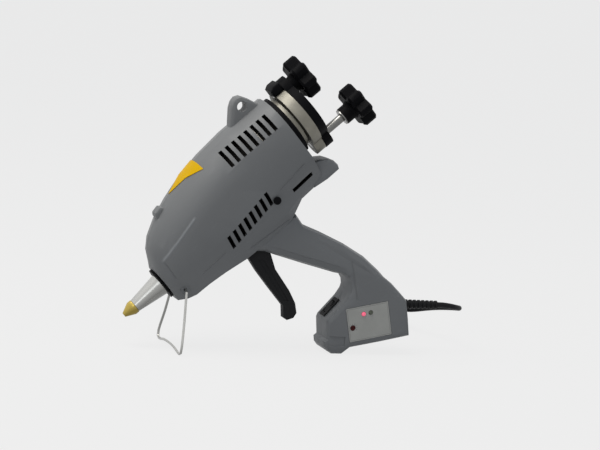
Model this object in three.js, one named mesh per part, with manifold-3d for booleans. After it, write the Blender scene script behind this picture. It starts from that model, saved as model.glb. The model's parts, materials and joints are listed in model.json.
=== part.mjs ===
// A hand-held hot glue applicator with a heated tank, a trigger pump and a clamped lid.
// Millimetres, +Z up, X from the nozzle to the grip's end, Y across. It stands on a wire stand
// and on the foot of its grip; the origin is the middle of its footprint.
import * as THREE from 'three';
import { mergeVertices } from 'three/addons/utils/BufferGeometryUtils.js';
import Module from 'manifold-3d';

const wasm = await Module();
wasm.setup();

// Clearances that the whole part shares
const fitGap = 0.3;
const overrun = 2;
const degrees = Math.PI / 180;

// Attitude: the nozzle axis climbs away from the tip, and lengths along it start at the tip
const tiltDegrees = 43;
const tipHeight = 34.2;

// Nozzle
const tipLength = 15;
const tipMouthRadius = 2.6;
const tipBaseRadius = 8;
const glueHoleRadius = 1.5;
const nozzleLength = 38.6;
const nozzleFrontRadius = 7.4;
const nozzleRearRadius = 12.6;
const nozzleStepRadius = 9;
const nozzleBoreRadius = 2.2;
const threadRadius = 7;
const threadLength = 10.5;
const collarRadius = 18.7;
const collarThickness = 2.4;
const ballRadius = 3.3;
const chamberRadius = 4.2;
const chamberDepth = 22;
const outletSpringRadius = 3;
const outletWireRadius = 0.4;
const seatThickness = 4;
const seatRadius = 2.4;

// Housing barrel over the pump's box, in the nozzle's frame
const barrelLength = 208;
const barrelHeight = 86;
const barrelHalfWidth = 41;
const wall = 3;
const tankRise = 45;
const boxDrop = 38;
const mouthRoom = 2.5;

// Rear horn, hanging lug, catch on the nose
const hornHalfWidth = 17;
const hornRound = 4;
const hornLength = 36;
const hornHeight = 32;
const lugHalfWidth = 9;
const lugRound = 3.5;
const lugLength = 48;
const lugHeight = 37;
const lugSetback = 1;
const lugSink = 16;
const lugHoleRadius = 5.6;
const catchLength = 14;
const catchHeight = 12;
const catchHalfWidth = 8;
const catchRound = 2;

// Grip and base, in the upright frame
const reach = 325;
const gripRise = 150;
const gripHalfWidth = 17.5;
const gripRound = 8;
const baseHalfWidth = 22;
const baseRound = 5;
const footPocketDepth = 1;

// Vents and the plugged recess, set back from the barrel's end
const ventCount = 8;
const ventWidth = 4.1;
const ventPitch = 8.7;
const upperVentLength = 18.5;
const upperVentInset = 74.2;
const upperVentRise = 68.3;
const lowerVentLength = 16.5;
const lowerVentInset = 125.6;
const lowerVentRise = -5.8;
const lowerRowDegrees = 10.5;
const lowerSlotDegrees = 15;
const hornVentLength = 28.5;
const hornVentWidth = 4.8;
const hornVentInset = 37.8;
const hornVentRise = -8.4;
const plugRadius = 4.4;
const plugInset = 59.5;
const plugRise = -2.3;
const plugDepth = 1.8;
const plugThickness = 0.9;

// Tank, neck and lid
const tankOuterRadius = 27;
const tankNoseRadius = 18.9;
const tankConeLength = 12;
const tankBoreRadius = 23;
const tankBoreNoseRadius = 13.8;
const tankFloor = 6;
const tankBoreConeLength = 10;
const neckRootRadius = 26.5;
const neckRadius = 23.5;
const mouthRadius = 20;
const shoulderRadius = 31;
const shoulderLength = 4.8;
const insulatorRadius = 36;
const insulatorLength = 5.8;
const flangeRadius = 36.5;
const flangeLength = 11.8;
const flangeEarRadius = 13.4;
const flangeSlit = 1.7;
const lidThickness = 10;
const lidRadius = 35;
const lidEarRadius = 13.9;
const upperEarRadius = 14.5;
const lowerStudDrop = 35;
const upperStudRise = 30;
const studRadius = 4.8;
const studEngagement = 8;
const pocketRadius = 11.6;
const pocketFloor = 2.9;
const sealWidth = 2.2;
const sealHeight = 1.6;
const sealLip = 0.5;
const guardLength = 12.6;
const guardHalfWidth = 13;
const guardThickness = 10.5;
const guardRound = 2.5;
const guardSink = 2;
const guardOverhang = 0.8;
const lidSwingDegrees = 105;

// Star knobs
const knobRadius = 25;
const knobLobes = 7;
const lobeDepth = 6.5;
const knobThickness = 17;
const knobEdge = 2.2;
const hubRadius = 10;
const hubLength = 12;
const bushRadius = 7;
const washerRadius = 9.6;
const washerThickness = 1.4;
const lowerKnobLift = 24.2;

// Pump
const pumpBlockInset = 17.5;
const pumpBlockLength = 56;
const pumpNoseRadius = 14.5;
const pumpBlockHalfWidth = 17;
const pumpBlockDrop = 15;
const pumpBlockRise = 13;
const funnelHalfWidth = 12;
const funnelRound = 2;
const sleeveOuterRadius = 7;
const plungerRadius = 4.8;
const plungerInset = 26;
const inletInset = 18;
const inletRadius = 4;
const sealSeatInset = 4;
const sealSeatLength = 3;
const sealSeatDepth = 1.2;
const glandRadius = 10;
const glandLength = 7;
const springTurns = 5;
const springWireRadius = 0.75;
const springRadius = 7.6;
const springLength = 22;
const collarRingRadius = 9.4;
const collarRingLength = 3;
const collarSeatDepth = 0.8;
const tongueReach = 7.92;
const tongueHalfWidth = 3.2;
const tongueHeight = 4.6;
const linkPinRadius = 1.8;

// Trigger
const triggerArmDrop = 33;
const triggerArmDegrees = 10;
const triggerHalfWidth = 6.6;
const triggerRound = 2;
const triggerHubRadius = 7;
const triggerHubRoom = 1;
const triggerPinRadius = 2.9;
const triggerPinHalfLength = 13.6;
const armThickness = 2.6;
const triggerDrop = 86;
const triggerSweep = 62;
const grooveDepth = 0.8;

// Tank fittings
const heaterRadius = 3.9;
const heaterLength = 38;
const heaterStub = 3;
const heaterOffset = 11.6;
const heaterDrop = 8.4;
const thermostatRadius = 8;
const thermostatHeight = 5;
const thermostatTabHalf = 1;
const sensorRadius = 2.2;
const sensorLength = 15.5;
const sensorTip = 2.5;
const sensorInset = 3;
const supportThickness = 3;
const supportInset = 34.5;

// Wire stand
const wireRadius = 1.4;
const wireBend = 7;
const standHalfWidth = 49;
const standTopHalfWidth = 24;
const standPivotInset = 12.4;
const standPivotDrop = 16.2;
const standLean = 6.6;
const standArch = 3.4;
const standBossRadius = 5;
const standBossGap = 1.5;
const standSteps = 42;

// Yellow patch
const patchThickness = 0.5;

// Base fittings
const panelLength = 49.6;
const panelHeight = 38;
const panelThickness = 0.8;
const panelTurnDegrees = 12.3;
const lampRadius = 2.4;
const lampDome = 1.3;
const trimmerRadius = 3;
const trimmerSink = 0.2;
const trimmerSlotDepth = 1.2;
const trimmerSlotHalf = 0.4;
const switchLength = 25;
const switchWidth = 15;
const bezelThickness = 1.6;
const switchCanDepth = 11.5;
const rockerRise = 3.2;
const rockerSink = 0.5;
const rockerAxisDrop = 2.2;
const rockerDegrees = 14;
const boardThickness = 1.6;
const boardDepth = 14.6;
const relayHeight = 9;
const dropperHeight = 7;
const terminalLength = 16;
const terminalHeight = 9;
const terminalDepth = 12;
const terminalPitch = 5;
const terminalHoleRadius = 1.5;

// Strain relief and cord clamp
const reliefRadius = 5.4;
const reliefEndRadius = 4.75;
const reliefLength = 44.5;
const reliefRise = 55;
const reliefRings = 8;
const reliefGroove = 1;
const reliefNeckLength = 3.5;
const reliefSeat = 7.3;
const reliefFlange = 2;
const reliefFlangeThickness = 2.2;
const clampInset = 14;
const clampHalfLength = 4;
const clampHalfWidth = 11;
const clampThickness = 3.4;
const clampScrewSpread = 8;
const clampScrewRadius = 2.2;
const clampScrewHeight = 2;

// Screws
const screwRadius = 1.5;
const screwHeadRadius = 3;
const screwHeadHeight = 2;
const bossRadius = 4;
const bossHalfLength = 8;

// Lead and its plug
const leadDiameter = 6;
const leadSides = 8;
const leadSteps = 24;
const coilGap = 0.45;
const coilOuterRadius = 38;
const coilLayers = 4;
const coilTurns = 8;
const stepsPerTurn = 24;
const coilSides = 6;
const plugBodyRadius = 12.5;
const plugBodyLength = 34;
const plugNeckLength = 16;
const plugNeckSkin = 0.4;
const plugNeckGrowth = 2.2;
const plugShoulder = 2;
const plugPinLength = 19;
const plugPinRadius = 2.4;
const plugPinSpread = 9.5;

// Colours seen in the photograph
const finish = {
  housing: { color: 0x83878a, roughness: 0.55, metalness: 0 },
  black: { color: 0x16171a, roughness: 0.45, metalness: 0 },
  aluminium: { color: 0xa9a595, roughness: 0.42, metalness: 0.9 },
  steel: { color: 0xc4c5c2, roughness: 0.28, metalness: 1 },
  brass: { color: 0xc9b25a, roughness: 0.32, metalness: 1 },
  rubber: { color: 0x1b1b1d, roughness: 0.85, metalness: 0 },
  silicone: { color: 0x9c4a35, roughness: 0.7, metalness: 0 },
  panel: { color: 0xb4b6b4, roughness: 0.6, metalness: 0.1 },
  redLamp: { color: 0xe8637f, roughness: 0.3, metalness: 0 },
  greenLamp: { color: 0x4a5a2c, roughness: 0.3, metalness: 0 },
  darkRed: { color: 0x4c1f20, roughness: 0.5, metalness: 0 },
  yellow: { color: 0xd2b23e, roughness: 0.5, metalness: 0 },
  board: { color: 0x2f5a3c, roughness: 0.5, metalness: 0 },
  ceramic: { color: 0xd9d4c7, roughness: 0.8, metalness: 0 },
};

// Solids and their booleans
function toSolid(geometry) {
  const plain = geometry.clone();
  plain.deleteAttribute('normal');
  plain.deleteAttribute('uv');
  const merged = mergeVertices(plain, 1e-4);
  const triangles = Array.from(merged.index.array);
  const places = merged.attributes.position;
  let volume = 0;
  const a = new THREE.Vector3();
  const b = new THREE.Vector3();
  const c = new THREE.Vector3();
  for (let i = 0; i < triangles.length; i += 3) {
    a.fromBufferAttribute(places, triangles[i]);
    b.fromBufferAttribute(places, triangles[i + 1]);
    c.fromBufferAttribute(places, triangles[i + 2]);
    volume += a.dot(b.clone().cross(c));
  }
  if (volume < 0) triangles.reverse();
  const kept = [];
  for (let i = 0; i < triangles.length; i += 3) {
    const [p, q, r] = triangles.slice(i, i + 3);
    if (p !== q && q !== r && r !== p) kept.push(p, q, r);
  }
  return new wasm.Manifold(new wasm.Mesh({
    numProp: 3,
    vertProperties: new Float32Array(places.array),
    triVerts: new Uint32Array(kept),
  }));
}

function toGeometry(solid) {
  const mesh = solid.getMesh();
  const geometry = new THREE.BufferGeometry();
  geometry.setAttribute('position', new THREE.BufferAttribute(new Float32Array(mesh.vertProperties), 3));
  geometry.setIndex(new THREE.BufferAttribute(new Uint32Array(mesh.triVerts), 1));
  geometry.computeVertexNormals();
  return geometry;
}

function join(...geometries) {
  return toGeometry(geometries.map(toSolid).reduce((sum, next) => sum.add(next)));
}

function cut(geometry, ...cutters) {
  return toGeometry(cutters.map(toSolid).reduce((rest, next) => rest.subtract(next), toSolid(geometry)));
}

function common(geometry, other) {
  return toGeometry(toSolid(geometry).intersect(toSolid(other)));
}

// Basic shapes. A turned piece lies along X; a plate's outline is drawn in X and Z.
function turned(profile, sides = 16) {
  const points = profile.map(([along, radius]) => new THREE.Vector2(radius, along));
  return new THREE.LatheGeometry(points, sides).rotateZ(-Math.PI / 2);
}

function disc(from, to, radius, sides = 16) {
  return turned([[from, 0], [from, radius], [to, radius], [to, 0]], sides);
}

function ring(from, to, inner, outer, sides = 16) {
  return turned([[from, inner], [from, outer], [to, outer], [to, inner], [from, inner]], sides);
}

function crossPin(x, z, radius, fromY, toY, sides = 16) {
  const pin = new THREE.CylinderGeometry(radius, radius, toY - fromY, sides);
  return pin.translate(x, (fromY + toY) / 2, z);
}

function block(x0, x1, y0, y1, z0, z1) {
  const box = new THREE.BoxGeometry(x1 - x0, y1 - y0, z1 - z0);
  return box.translate((x0 + x1) / 2, (y0 + y1) / 2, (z0 + z1) / 2);
}

function outline(points) {
  return new THREE.Shape(points.map(([x, z]) => new THREE.Vector2(x, z)));
}

// A plate across Y with rounded edges; shrink draws the whole outline in
function plate(shape, halfWidth, round = 0, shrink = 0, roundSteps = 2) {
  const geometry = new THREE.ExtrudeGeometry(shape, {
    depth: 2 * (halfWidth - round),
    bevelEnabled: round > 0 || shrink > 0,
    bevelThickness: Math.max(round, fitGap / 10),
    bevelSize: round,
    bevelOffset: -round - shrink,
    bevelSegments: round > 0 ? roundSteps : 1,
    curveSegments: 12,
  });
  return geometry.translate(0, 0, round - halfWidth).rotateX(Math.PI / 2);
}

function loft(sections) {
  const count = sections[0].length;
  const points = [];
  const triangles = [];
  const middle = (section) => section.reduce((sum, p) => sum.add(p), new THREE.Vector3()).divideScalar(count);
  sections.forEach((section) => points.push(...section));
  points.push(middle(sections[0]), middle(sections[sections.length - 1]));
  for (let s = 0; s + 1 < sections.length; s += 1) {
    for (let i = 0; i < count; i += 1) {
      const here = s * count + i;
      const next = s * count + (i + 1) % count;
      triangles.push(here, next, here + count, next, next + count, here + count);
    }
  }
  const last = (sections.length - 1) * count;
  const startMiddle = sections.length * count;
  for (let i = 0; i < count; i += 1) {
    const next = (i + 1) % count;
    triangles.push(startMiddle, next, i, startMiddle + 1, last + i, last + next);
  }
  const geometry = new THREE.BufferGeometry();
  const flat = points.flatMap((p) => [p.x, p.y, p.z]);
  geometry.setAttribute('position', new THREE.Float32BufferAttribute(flat, 3));
  geometry.setIndex(triangles);
  return geometry;
}

// A tube with its own rings of points, for wound wire and the coiled lead
function woundTube(centres, radius, sides) {
  const sections = centres.map((centre, i) => {
    const before = centres[Math.max(i - 1, 0)];
    const after = centres[Math.min(i + 1, centres.length - 1)];
    const along = after.clone().sub(before).normalize();
    const side = new THREE.Vector3(along.y, -along.x, 0).normalize();
    const lift = side.clone().cross(along).normalize();
    return Array.from({ length: sides }, (_, k) => {
      const turn = (k + 0.5) * 2 * Math.PI / sides;
      return centre.clone()
        .addScaledVector(side, radius * Math.cos(turn))
        .addScaledVector(lift, radius * Math.sin(turn));
    });
  });
  return toGeometry(toSolid(loft(sections)));
}

// The least gap of a wound tube to itself, on the points of its path
function leastGap(centres, radius, spacing) {
  const skip = Math.ceil(2.5 * radius / spacing);
  let least = Infinity;
  for (let i = 0; i < centres.length; i += 1) {
    for (let j = i + skip; j < centres.length; j += 1) {
      least = Math.min(least, centres[i].distanceTo(centres[j]));
    }
  }
  return least - 2 * radius;
}

function pathTube(points, radius, sides, steps) {
  const circle = Array.from({ length: sides }, (_, k) => {
    const turn = (k + 0.5) * 2 * Math.PI / sides;
    return [radius * Math.cos(turn), radius * Math.sin(turn)];
  });
  const path = new THREE.CatmullRomCurve3(points.map(([x, y, z]) => new THREE.Vector3(x, y, z)));
  const options = { steps: Math.round(steps), extrudePath: path, bevelEnabled: false };
  return new THREE.ExtrudeGeometry(outline(circle), options);
}

// The nozzle's frame, set into the upright one
const gunMatrix = new THREE.Matrix4()
  .makeTranslation(0, 0, tipHeight)
  .multiply(new THREE.Matrix4().makeRotationY(-tiltDegrees * degrees));

function upright(geometry) {
  return geometry.clone().applyMatrix4(gunMatrix);
}

function uprightPoint(along, rise) {
  return new THREE.Vector3(along, 0, rise).applyMatrix4(gunMatrix);
}

const gun = new THREE.Group();
gun.applyMatrix4(gunMatrix);
const stood = new THREE.Group();
const lead = new THREE.Group();
const applicator = new THREE.Group();
applicator.add(gun, stood, lead);

function add(group, name, geometry, look) {
  const mesh = new THREE.Mesh(geometry, new THREE.MeshStandardMaterial(finish[look]));
  mesh.name = name;
  group.add(mesh);
}

// Places that several pieces share, along the nozzle's axis and across it
const nozzleStart = tipLength + fitGap;
const nozzleEnd = nozzleStart + nozzleLength;
const collarStart = nozzleEnd - collarThickness;
const threadEnd = nozzleEnd + threadLength;
const seatStart = threadEnd + fitGap;
const pumpBoreStart = seatStart + seatThickness;
const noseStart = nozzleEnd + 2 * fitGap;
const barrelEnd = noseStart + barrelLength;
const insulatorEnd = barrelEnd + fitGap + insulatorLength;
const shoulderEnd = insulatorEnd + fitGap + shoulderLength;
const flangeStart = shoulderEnd + flangeSlit;
const flangeEnd = flangeStart + flangeLength;
const lidStart = flangeEnd + fitGap;
const lidEnd = lidStart + lidThickness;
const lowerStudRise = tankRise - lowerStudDrop;
const upperStudAt = tankRise + upperStudRise;
const pocketStart = lidStart + pocketFloor;
const pumpBlockStart = noseStart + pumpBlockInset;
const pumpBlockEnd = pumpBlockStart + pumpBlockLength;
const plungerFront = pumpBlockStart + plungerInset;
const inletAlong = pumpBlockStart + inletInset;
const tankStart = pumpBlockEnd;
const springStart = pumpBlockEnd + fitGap + glandLength + fitGap;
const springEnd = springStart + springLength;
const collarRingStart = springEnd + fitGap;
const collarRingEnd = collarRingStart + collarRingLength;
const linkAlong = collarRingEnd + tongueReach;
const triggerPivotAlong = linkAlong - triggerArmDrop * Math.tan(triggerArmDegrees * degrees);
const pivot = uprightPoint(triggerPivotAlong, -triggerArmDrop);
const standPivot = uprightPoint(noseStart + standPivotInset, -standPivotDrop);

// Barrel sections, as shares: place, top, height and width at the widest, upper crease's height,
// lower crease's depth and width, bottom's depth
const barrelShares = [
  [0, 0.256, 0, 0.561, -0.1, 0.42, 0.366, 0.63],
  [0.014, 0.314, 0.023, 0.622, -0.1, 0.44, 0.39, 0.67],
  [0.045, 0.465, 0.093, 0.707, -0.08, 0.48, 0.44, 0.77],
  [0.093, 0.581, 0.163, 0.78, -0.03, 0.53, 0.49, 0.84],
  [0.18, 0.703, 0.256, 0.866, 0.026, 0.58, 0.537, 0.84],
  [0.284, 0.802, 0.349, 0.927, 0.08, 0.61, 0.585, 0.88],
  [0.418, 0.901, 0.43, 0.976, 0.13, 0.65, 0.62, 0.98],
  [0.561, 0.965, 0.488, 1, 0.16, 0.66, 0.634, 1],
  [0.728, 1, 0.523, 1, 0.21, 0.66, 0.634, 0.96],
  [0.84, 1, 0.523, 1, 0.23, 0.5, 0.56, 0.69],
  [1, 1, 0.523, 1, 0.25, 0.49, 0.44, 0.68],
];
const creaseWidthShare = 0.965;
const bottomWidthShare = 0.68;
const roundness = 2.2;
const archSteps = 5;

function barrelSolid(skin) {
  const sections = barrelShares.map(([along, top, waist, width, crease, low, lowWidth, bottom]) => {
    const place = noseStart + THREE.MathUtils.clamp(along * barrelLength, skin, barrelLength - skin);
    const highest = top * barrelHeight - skin;
    const widestAt = waist * barrelHeight;
    const widest = width * barrelHalfWidth - skin;
    const half = [];
    for (let i = 1; i <= archSteps; i += 1) {
      const turn = i * Math.PI / 2 / archSteps;
      half.push([
        widest * Math.sin(turn) ** (2 / roundness),
        widestAt + (highest - widestAt) * Math.cos(turn) ** (2 / roundness),
      ]);
    }
    const lowest = -bottom * boxDrop + skin;
    half.push([widest * creaseWidthShare, crease * boxDrop]);
    half.push([lowWidth * barrelHalfWidth - skin, -low * boxDrop + skin / 3]);
    half.push([(lowWidth * barrelHalfWidth - skin) * bottomWidthShare, lowest]);
    const across = [[0, highest], ...half, ...half.map(([y, z]) => [-y, z]).reverse()];
    return across.map(([y, z]) => new THREE.Vector3(place, y, z));
  });
  return loft(sections);
}

// Outlines drawn in shares of a length and a height
function sharedOutline(shares, length, height, fromX = 0, fromZ = 0) {
  return outline(shares.map(([x, z]) => [fromX + x * length, fromZ + z * height]));
}

const hornShares = [
  [0, 0.98], [0.44, 0.85], [0.69, 0.72], [0.86, 0.59], [0.97, 0.41], [1, 0.18], [0.95, 0.04], [0.49, 0.03],
  [0, 0.1],
];
const hornPlaceShares = [-0.4, -0.94];
const hornStart = barrelEnd + hornPlaceShares[0] * hornLength;
const hornBottom = hornPlaceShares[1] * hornHeight;

const lugShares = [
  [0, 0.2], [0.05, 0.42], [0.12, 0.53], [0.33, 0.84], [0.45, 0.95], [0.57, 0.99], [0.68, 0.93], [0.77, 0.75],
  [0.86, 0.49], [0.96, 0.33], [0.98, 0.1], [0.5, 0],
];
const lugStart = barrelEnd - lugSetback - lugLength;
const lugBottom = barrelHeight - lugSink;
const lugHoleShares = [0.552, 0.676];
const lugHoleAlong = lugStart + lugHoleShares[0] * lugLength;
const lugHoleRise = lugBottom + lugHoleShares[1] * lugHeight;

const catchShares = [[0, 0.1], [0.06, 0.72], [0.2, 0.95], [0.75, 1.1], [0.95, 0.9], [1.05, 0.3], [0.6, 0]];
const catchPlaceShares = [0.18, 0.64];
const catchStart = noseStart + catchPlaceShares[0] * barrelLength;
const catchBottom = catchPlaceShares[1] * barrelHeight;

// Places on the barrel and its box, and places behind the trigger's pivot, from shares
function barrelPlace([along, rise]) {
  const place = uprightPoint(noseStart + along * barrelLength, rise * boxDrop);
  return [place.x, place.z];
}

function reachPlace(share) {
  return THREE.MathUtils.lerp(pivot.x, reach, share);
}

// The grip's outline: its root on the barrel's box, then its back, its inside and its throat
const gripRootShares = [[0.571, -0.626], [0.682, -0.731], [0.767, -0.98]];
const gripShares = [
  [0.268, 0.946], [0.33, 0.918], [0.408, 0.884], [0.528, 0.822], [0.665, 0.731], [0.769, 0.63], [0.879, 0.5],
  [0.938, 0.405], [0.823, 0.3], [0.645, 0.34], [0.56, 0.402], [0.578, 0.447], [0.587, 0.492], [0.582, 0.535],
  [0.564, 0.571], [0.532, 0.594], [0.486, 0.602], [0.291, 0.659],
];
const gripThroatShares = [[0.549, -1.511], [0.515, -1.205], [0.447, -0.855]];
const baseShares = [
  [0.468, 0.11], [0.456, 0.235], [0.463, 0.262], [0.562, 0.405], [0.589, 0.46], [0.645, 0.6], [0.755, 0.625],
  [0.852, 0.542], [0.905, 0.482], [0.961, 0.416], [0.983, 0.28], [1, 0.151], [0.81, 0.098], [0.622, 0.05],
  [0.594, 0.022], [0.571, 0], [0.507, 0], [0.477, 0.02], [0.456, 0.05], [0.45, 0.09],
];
const gripWideningShares = [0.29, 0.61];

// The grip widens to the base's width on its way back
function widened(geometry) {
  const places = geometry.attributes.position;
  const [from, to] = gripWideningShares.map(reachPlace);
  for (let i = 0; i < places.count; i += 1) {
    const share = THREE.MathUtils.smoothstep(places.getX(i), from, to);
    places.setY(i, places.getY(i) * THREE.MathUtils.lerp(1, baseHalfWidth / gripHalfWidth, share));
  }
  return geometry;
}

function gripSolid(skin) {
  const shape = outline([
    ...gripRootShares.map(barrelPlace),
    ...gripShares.map(([x, z]) => [reachPlace(x), z * gripRise]),
    ...gripThroatShares.map(barrelPlace),
  ]);
  return widened(plate(shape, gripHalfWidth - skin, gripRound - skin, skin, skin > 0 ? 1 : 2));
}

function baseSolid(skin) {
  const shape = outline(baseShares.map(([x, z]) => [reachPlace(x), z * gripRise]));
  return plate(shape, baseHalfWidth - skin, baseRound - skin / 2, skin, skin > 0 ? 1 : 2);
}

// Screw places, on the barrel and on the grip and base
const barrelScrewShares = [[0.123, 0.43], [0.724, 0.914], [0.714, -0.279]];
const gripScrewShares = [[0.656, 0.653], [0.536, 0.147]];
const onBarrel = ([along, rise]) => uprightPoint(noseStart + along * barrelLength, rise * barrelHeight);
const screwPlaces = [
  ...barrelScrewShares.map(onBarrel),
  ...gripScrewShares.map(([x, z]) => new THREE.Vector3(reachPlace(x), 0, z * gripRise)),
];

// The trigger's finger lever, from its pivot down, as shares of its sweep and drop
const leverShares = [
  [-0.1, 0.09], [-0.2, -0.16], [0.039, -0.39], [0.3, -0.605], [0.585, -0.83], [0.61, -0.985], [0.68, -1.015],
  [0.8, -0.985], [0.852, -0.92], [0.81, -0.79], [0.68, -0.63], [0.385, -0.357], [0.275, -0.16],
  [0.16, 0.04],
];
const grooveShares = [[0.04, -0.24], [0.15, -0.24], [0.67, -0.76], [0.58, -0.76]];

function leverShape() {
  return sharedOutline(leverShares, triggerSweep, triggerDrop, pivot.x, pivot.z);
}

// The mouth in the shells that the lever comes out of, wide enough for its whole travel
const leverMouthShares = [[-0.3, -0.6], [-0.3, 0.12], [0.26, 0.12], [0.44, -0.1], [0.66, -0.6]];

function leverMouth() {
  const shape = sharedOutline(leverMouthShares, triggerSweep, triggerDrop, pivot.x, pivot.z);
  return plate(shape, triggerHalfWidth + 3 * fitGap);
}

// Vent slots on one side: an upright row, a slanting row of steeper slots and one under the horn
function ventCutters(side) {
  const [near, far] = [side * wall * 4, side * (barrelHalfWidth + overrun)].sort((a, b) => a - b);
  const slot = (length, height) => block(-length / 2, length / 2, near, far, -height / 2, height / 2);
  const rowOf = (make) => Array.from({ length: ventCount }, (_, i) => upright(make(i * ventPitch)));
  const upper = (along) => slot(ventWidth, upperVentLength)
    .translate(barrelEnd - upperVentInset + along, 0, upperVentRise);
  const lower = (along) => slot(ventWidth, lowerVentLength)
    .rotateY(lowerSlotDegrees * degrees).translate(along, 0, 0)
    .rotateY(-lowerRowDegrees * degrees).translate(barrelEnd - lowerVentInset, 0, lowerVentRise);
  const underHorn = slot(hornVentLength, hornVentWidth)
    .translate(barrelEnd - hornVentInset + hornVentLength / 2, 0, hornVentRise);
  return [...rowOf(upper), ...rowOf(lower), upright(underHorn)];
}

// Switch frame: the slanted face on the base's front, from its lower to its upper corner
const switchFaceShares = [baseShares[2], baseShares[3]];
const [switchFoot, switchHead] = switchFaceShares
  .map(([x, z]) => new THREE.Vector3(reachPlace(x), 0, z * gripRise));
const switchSlope = switchHead.clone().sub(switchFoot).normalize();
const switchMiddleShare = 0.45;
const switchMiddle = switchFoot.clone().lerp(switchHead, switchMiddleShare);
const switchTurn = Math.atan2(switchSlope.z, switchSlope.x);

// The switch's can and its rocker as shares of the switch's length and width
const switchCanShares = [0.4, 0.4];
const rockerShares = [0.33, 0.27];

// Drawn with its length along X and its outer face up, then set on the slanted face
function onSwitchFace(geometry) {
  return geometry.clone().rotateY(-switchTurn).translate(switchMiddle.x, 0, switchMiddle.z);
}

// Panel frame: drawn flat with its outer face towards -Y
const panelPlaceShares = [0.722, 0.251];
const panelAlong = reachPlace(panelPlaceShares[0]);
const panelRise = panelPlaceShares[1] * gripRise;

function onPanel(geometry) {
  return geometry.clone().rotateY(-panelTurnDegrees * degrees).translate(panelAlong, 0, panelRise);
}
const redLampShares = [-0.1, 0.26];
const greenLampShares = [0.07, 0.265];
const trimmerShares = [-0.39, -0.09];
const terminalShares = [0.2, 0.22];
const onPanelSheet = ([x, z]) => [x * panelLength, z * panelHeight];
const redLampAt = onPanelSheet(redLampShares);
const greenLampAt = onPanelSheet(greenLampShares);
const trimmerAt = onPanelSheet(trimmerShares);
const panelHoles = [[redLampAt, lampRadius], [greenLampAt, lampRadius], [trimmerAt, trimmerRadius]];

const reliefStartShare = 0.9575;
const reliefStart = reachPlace(reliefStartShare);

function hornSolid(skin) {
  const shape = sharedOutline(hornShares, hornLength, hornHeight, hornStart, hornBottom);
  return upright(plate(shape, hornHalfWidth - skin, hornRound - skin, skin, skin > 0 ? 1 : 2));
}

const plugFace = creaseWidthShare * barrelHalfWidth - plugDepth;
const standBossStart = pumpNoseRadius + standBossGap;

// The two bosses that hold the wire stand's ends, either side of the pump
function standBosses(outerEnd) {
  return [[-outerEnd, -standBossStart], [standBossStart, outerEnd]]
    .map(([from, to]) => crossPin(standPivot.x, standPivot.z, standBossRadius, from, to, 10));
}

function shellSolid() {
  const lug = sharedOutline(lugShares, lugLength, lugHeight, lugStart, lugBottom);
  const hook = sharedOutline(catchShares, catchLength, catchHeight, catchStart, catchBottom);
  const outer = join(
    upright(barrelSolid(0)), gripSolid(0), baseSolid(0), hornSolid(0),
    upright(plate(lug, lugHalfWidth, lugRound)),
    upright(plate(hook, catchHalfWidth, catchRound)),
    ...standBosses(standTopHalfWidth - wireRadius),
  );
  const hollow = join(upright(barrelSolid(wall)), gripSolid(wall), baseSolid(wall), hornSolid(wall));
  return { outer, hollow };
}

const { outer: shellOuter, hollow: shellHollow } = shellSolid();
const far = 4 * barrelHalfWidth;

// What only one half has: pockets for the screw heads, or the panel's bed and the holes behind it
function sideCutters(side) {
  if (side > 0) {
    return screwPlaces.map((p) => crossPin(p.x, p.z, screwHeadRadius + fitGap, bossHalfLength, far, 8));
  }
  const halfLength = panelLength / 2 + fitGap;
  const halfHeight = panelHeight / 2 + fitGap;
  const bed = onPanel(block(
    -halfLength, halfLength, -far, panelThickness - baseHalfWidth, -halfHeight, halfHeight,
  ));
  const holes = panelHoles.map(([[x, z], radius]) => onPanel(
    crossPin(x, z, radius + fitGap, -far, -baseHalfWidth / 2, 12),
  ));
  return [bed, ...holes, footPocket()];
}

// A shallow pocket in the foot's side, between the shares of the run and of the grip's rise
const footPocketShares = [[0.471, 0.063], [0.58, 0.133]];
function footPocket() {
  const [[fromX, fromZ], [toX, toZ]] = footPocketShares.map(([x, z]) => [reachPlace(x), z * gripRise]);
  return block(fromX, toX, -far, footPocketDepth - baseHalfWidth, fromZ, toZ);
}

// Openings that both halves share, on the shells' own side
function housingCutters(side) {
  const hubRoom = triggerHalfWidth + 4 * fitGap;
  const recessEnds = [side * plugFace, side * far].sort((a, b) => a - b);
  const switchHole = block(
    -switchCanShares[0] * switchLength, switchCanShares[0] * switchLength,
    -switchCanShares[1] * switchWidth, switchCanShares[1] * switchWidth, -switchCanDepth - overrun, wall,
  );
  return [
    ...ventCutters(side),
    leverMouth(),
    crossPin(pivot.x, pivot.z, triggerHubRadius + triggerHubRoom, -hubRoom, hubRoom, 24),
    crossPin(pivot.x, pivot.z, triggerPinRadius + fitGap, -triggerPinHalfLength - fitGap,
      triggerPinHalfLength + fitGap),
    upright(crossPin(lugHoleAlong, lugHoleRise, lugHoleRadius, -far, far, 24)),
    upright(disc(noseStart - overrun, noseStart + 3 * wall, pumpNoseRadius + fitGap)),
    upright(disc(barrelEnd - 3 * wall, barrelEnd + overrun, neckRootRadius + mouthRoom)
      .translate(0, 0, tankRise)),
    crossPin(standPivot.x, standPivot.z, wireRadius + fitGap, -far, -standTopHalfWidth / 2, 12),
    crossPin(standPivot.x, standPivot.z, wireRadius + fitGap, standTopHalfWidth / 2, far, 12),
    upright(crossPin(barrelEnd - plugInset, plugRise, plugRadius + fitGap, ...recessEnds)),
    disc(reliefStart - 3 * wall, reliefStart + 6 * wall, reliefRadius + fitGap).translate(0, 0, reliefRise),
    onSwitchFace(switchHole),
    ...screwPlaces.map((p) => crossPin(p.x, p.z, screwRadius + fitGap, -bossHalfLength, far, 6)),
  ];
}

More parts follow.
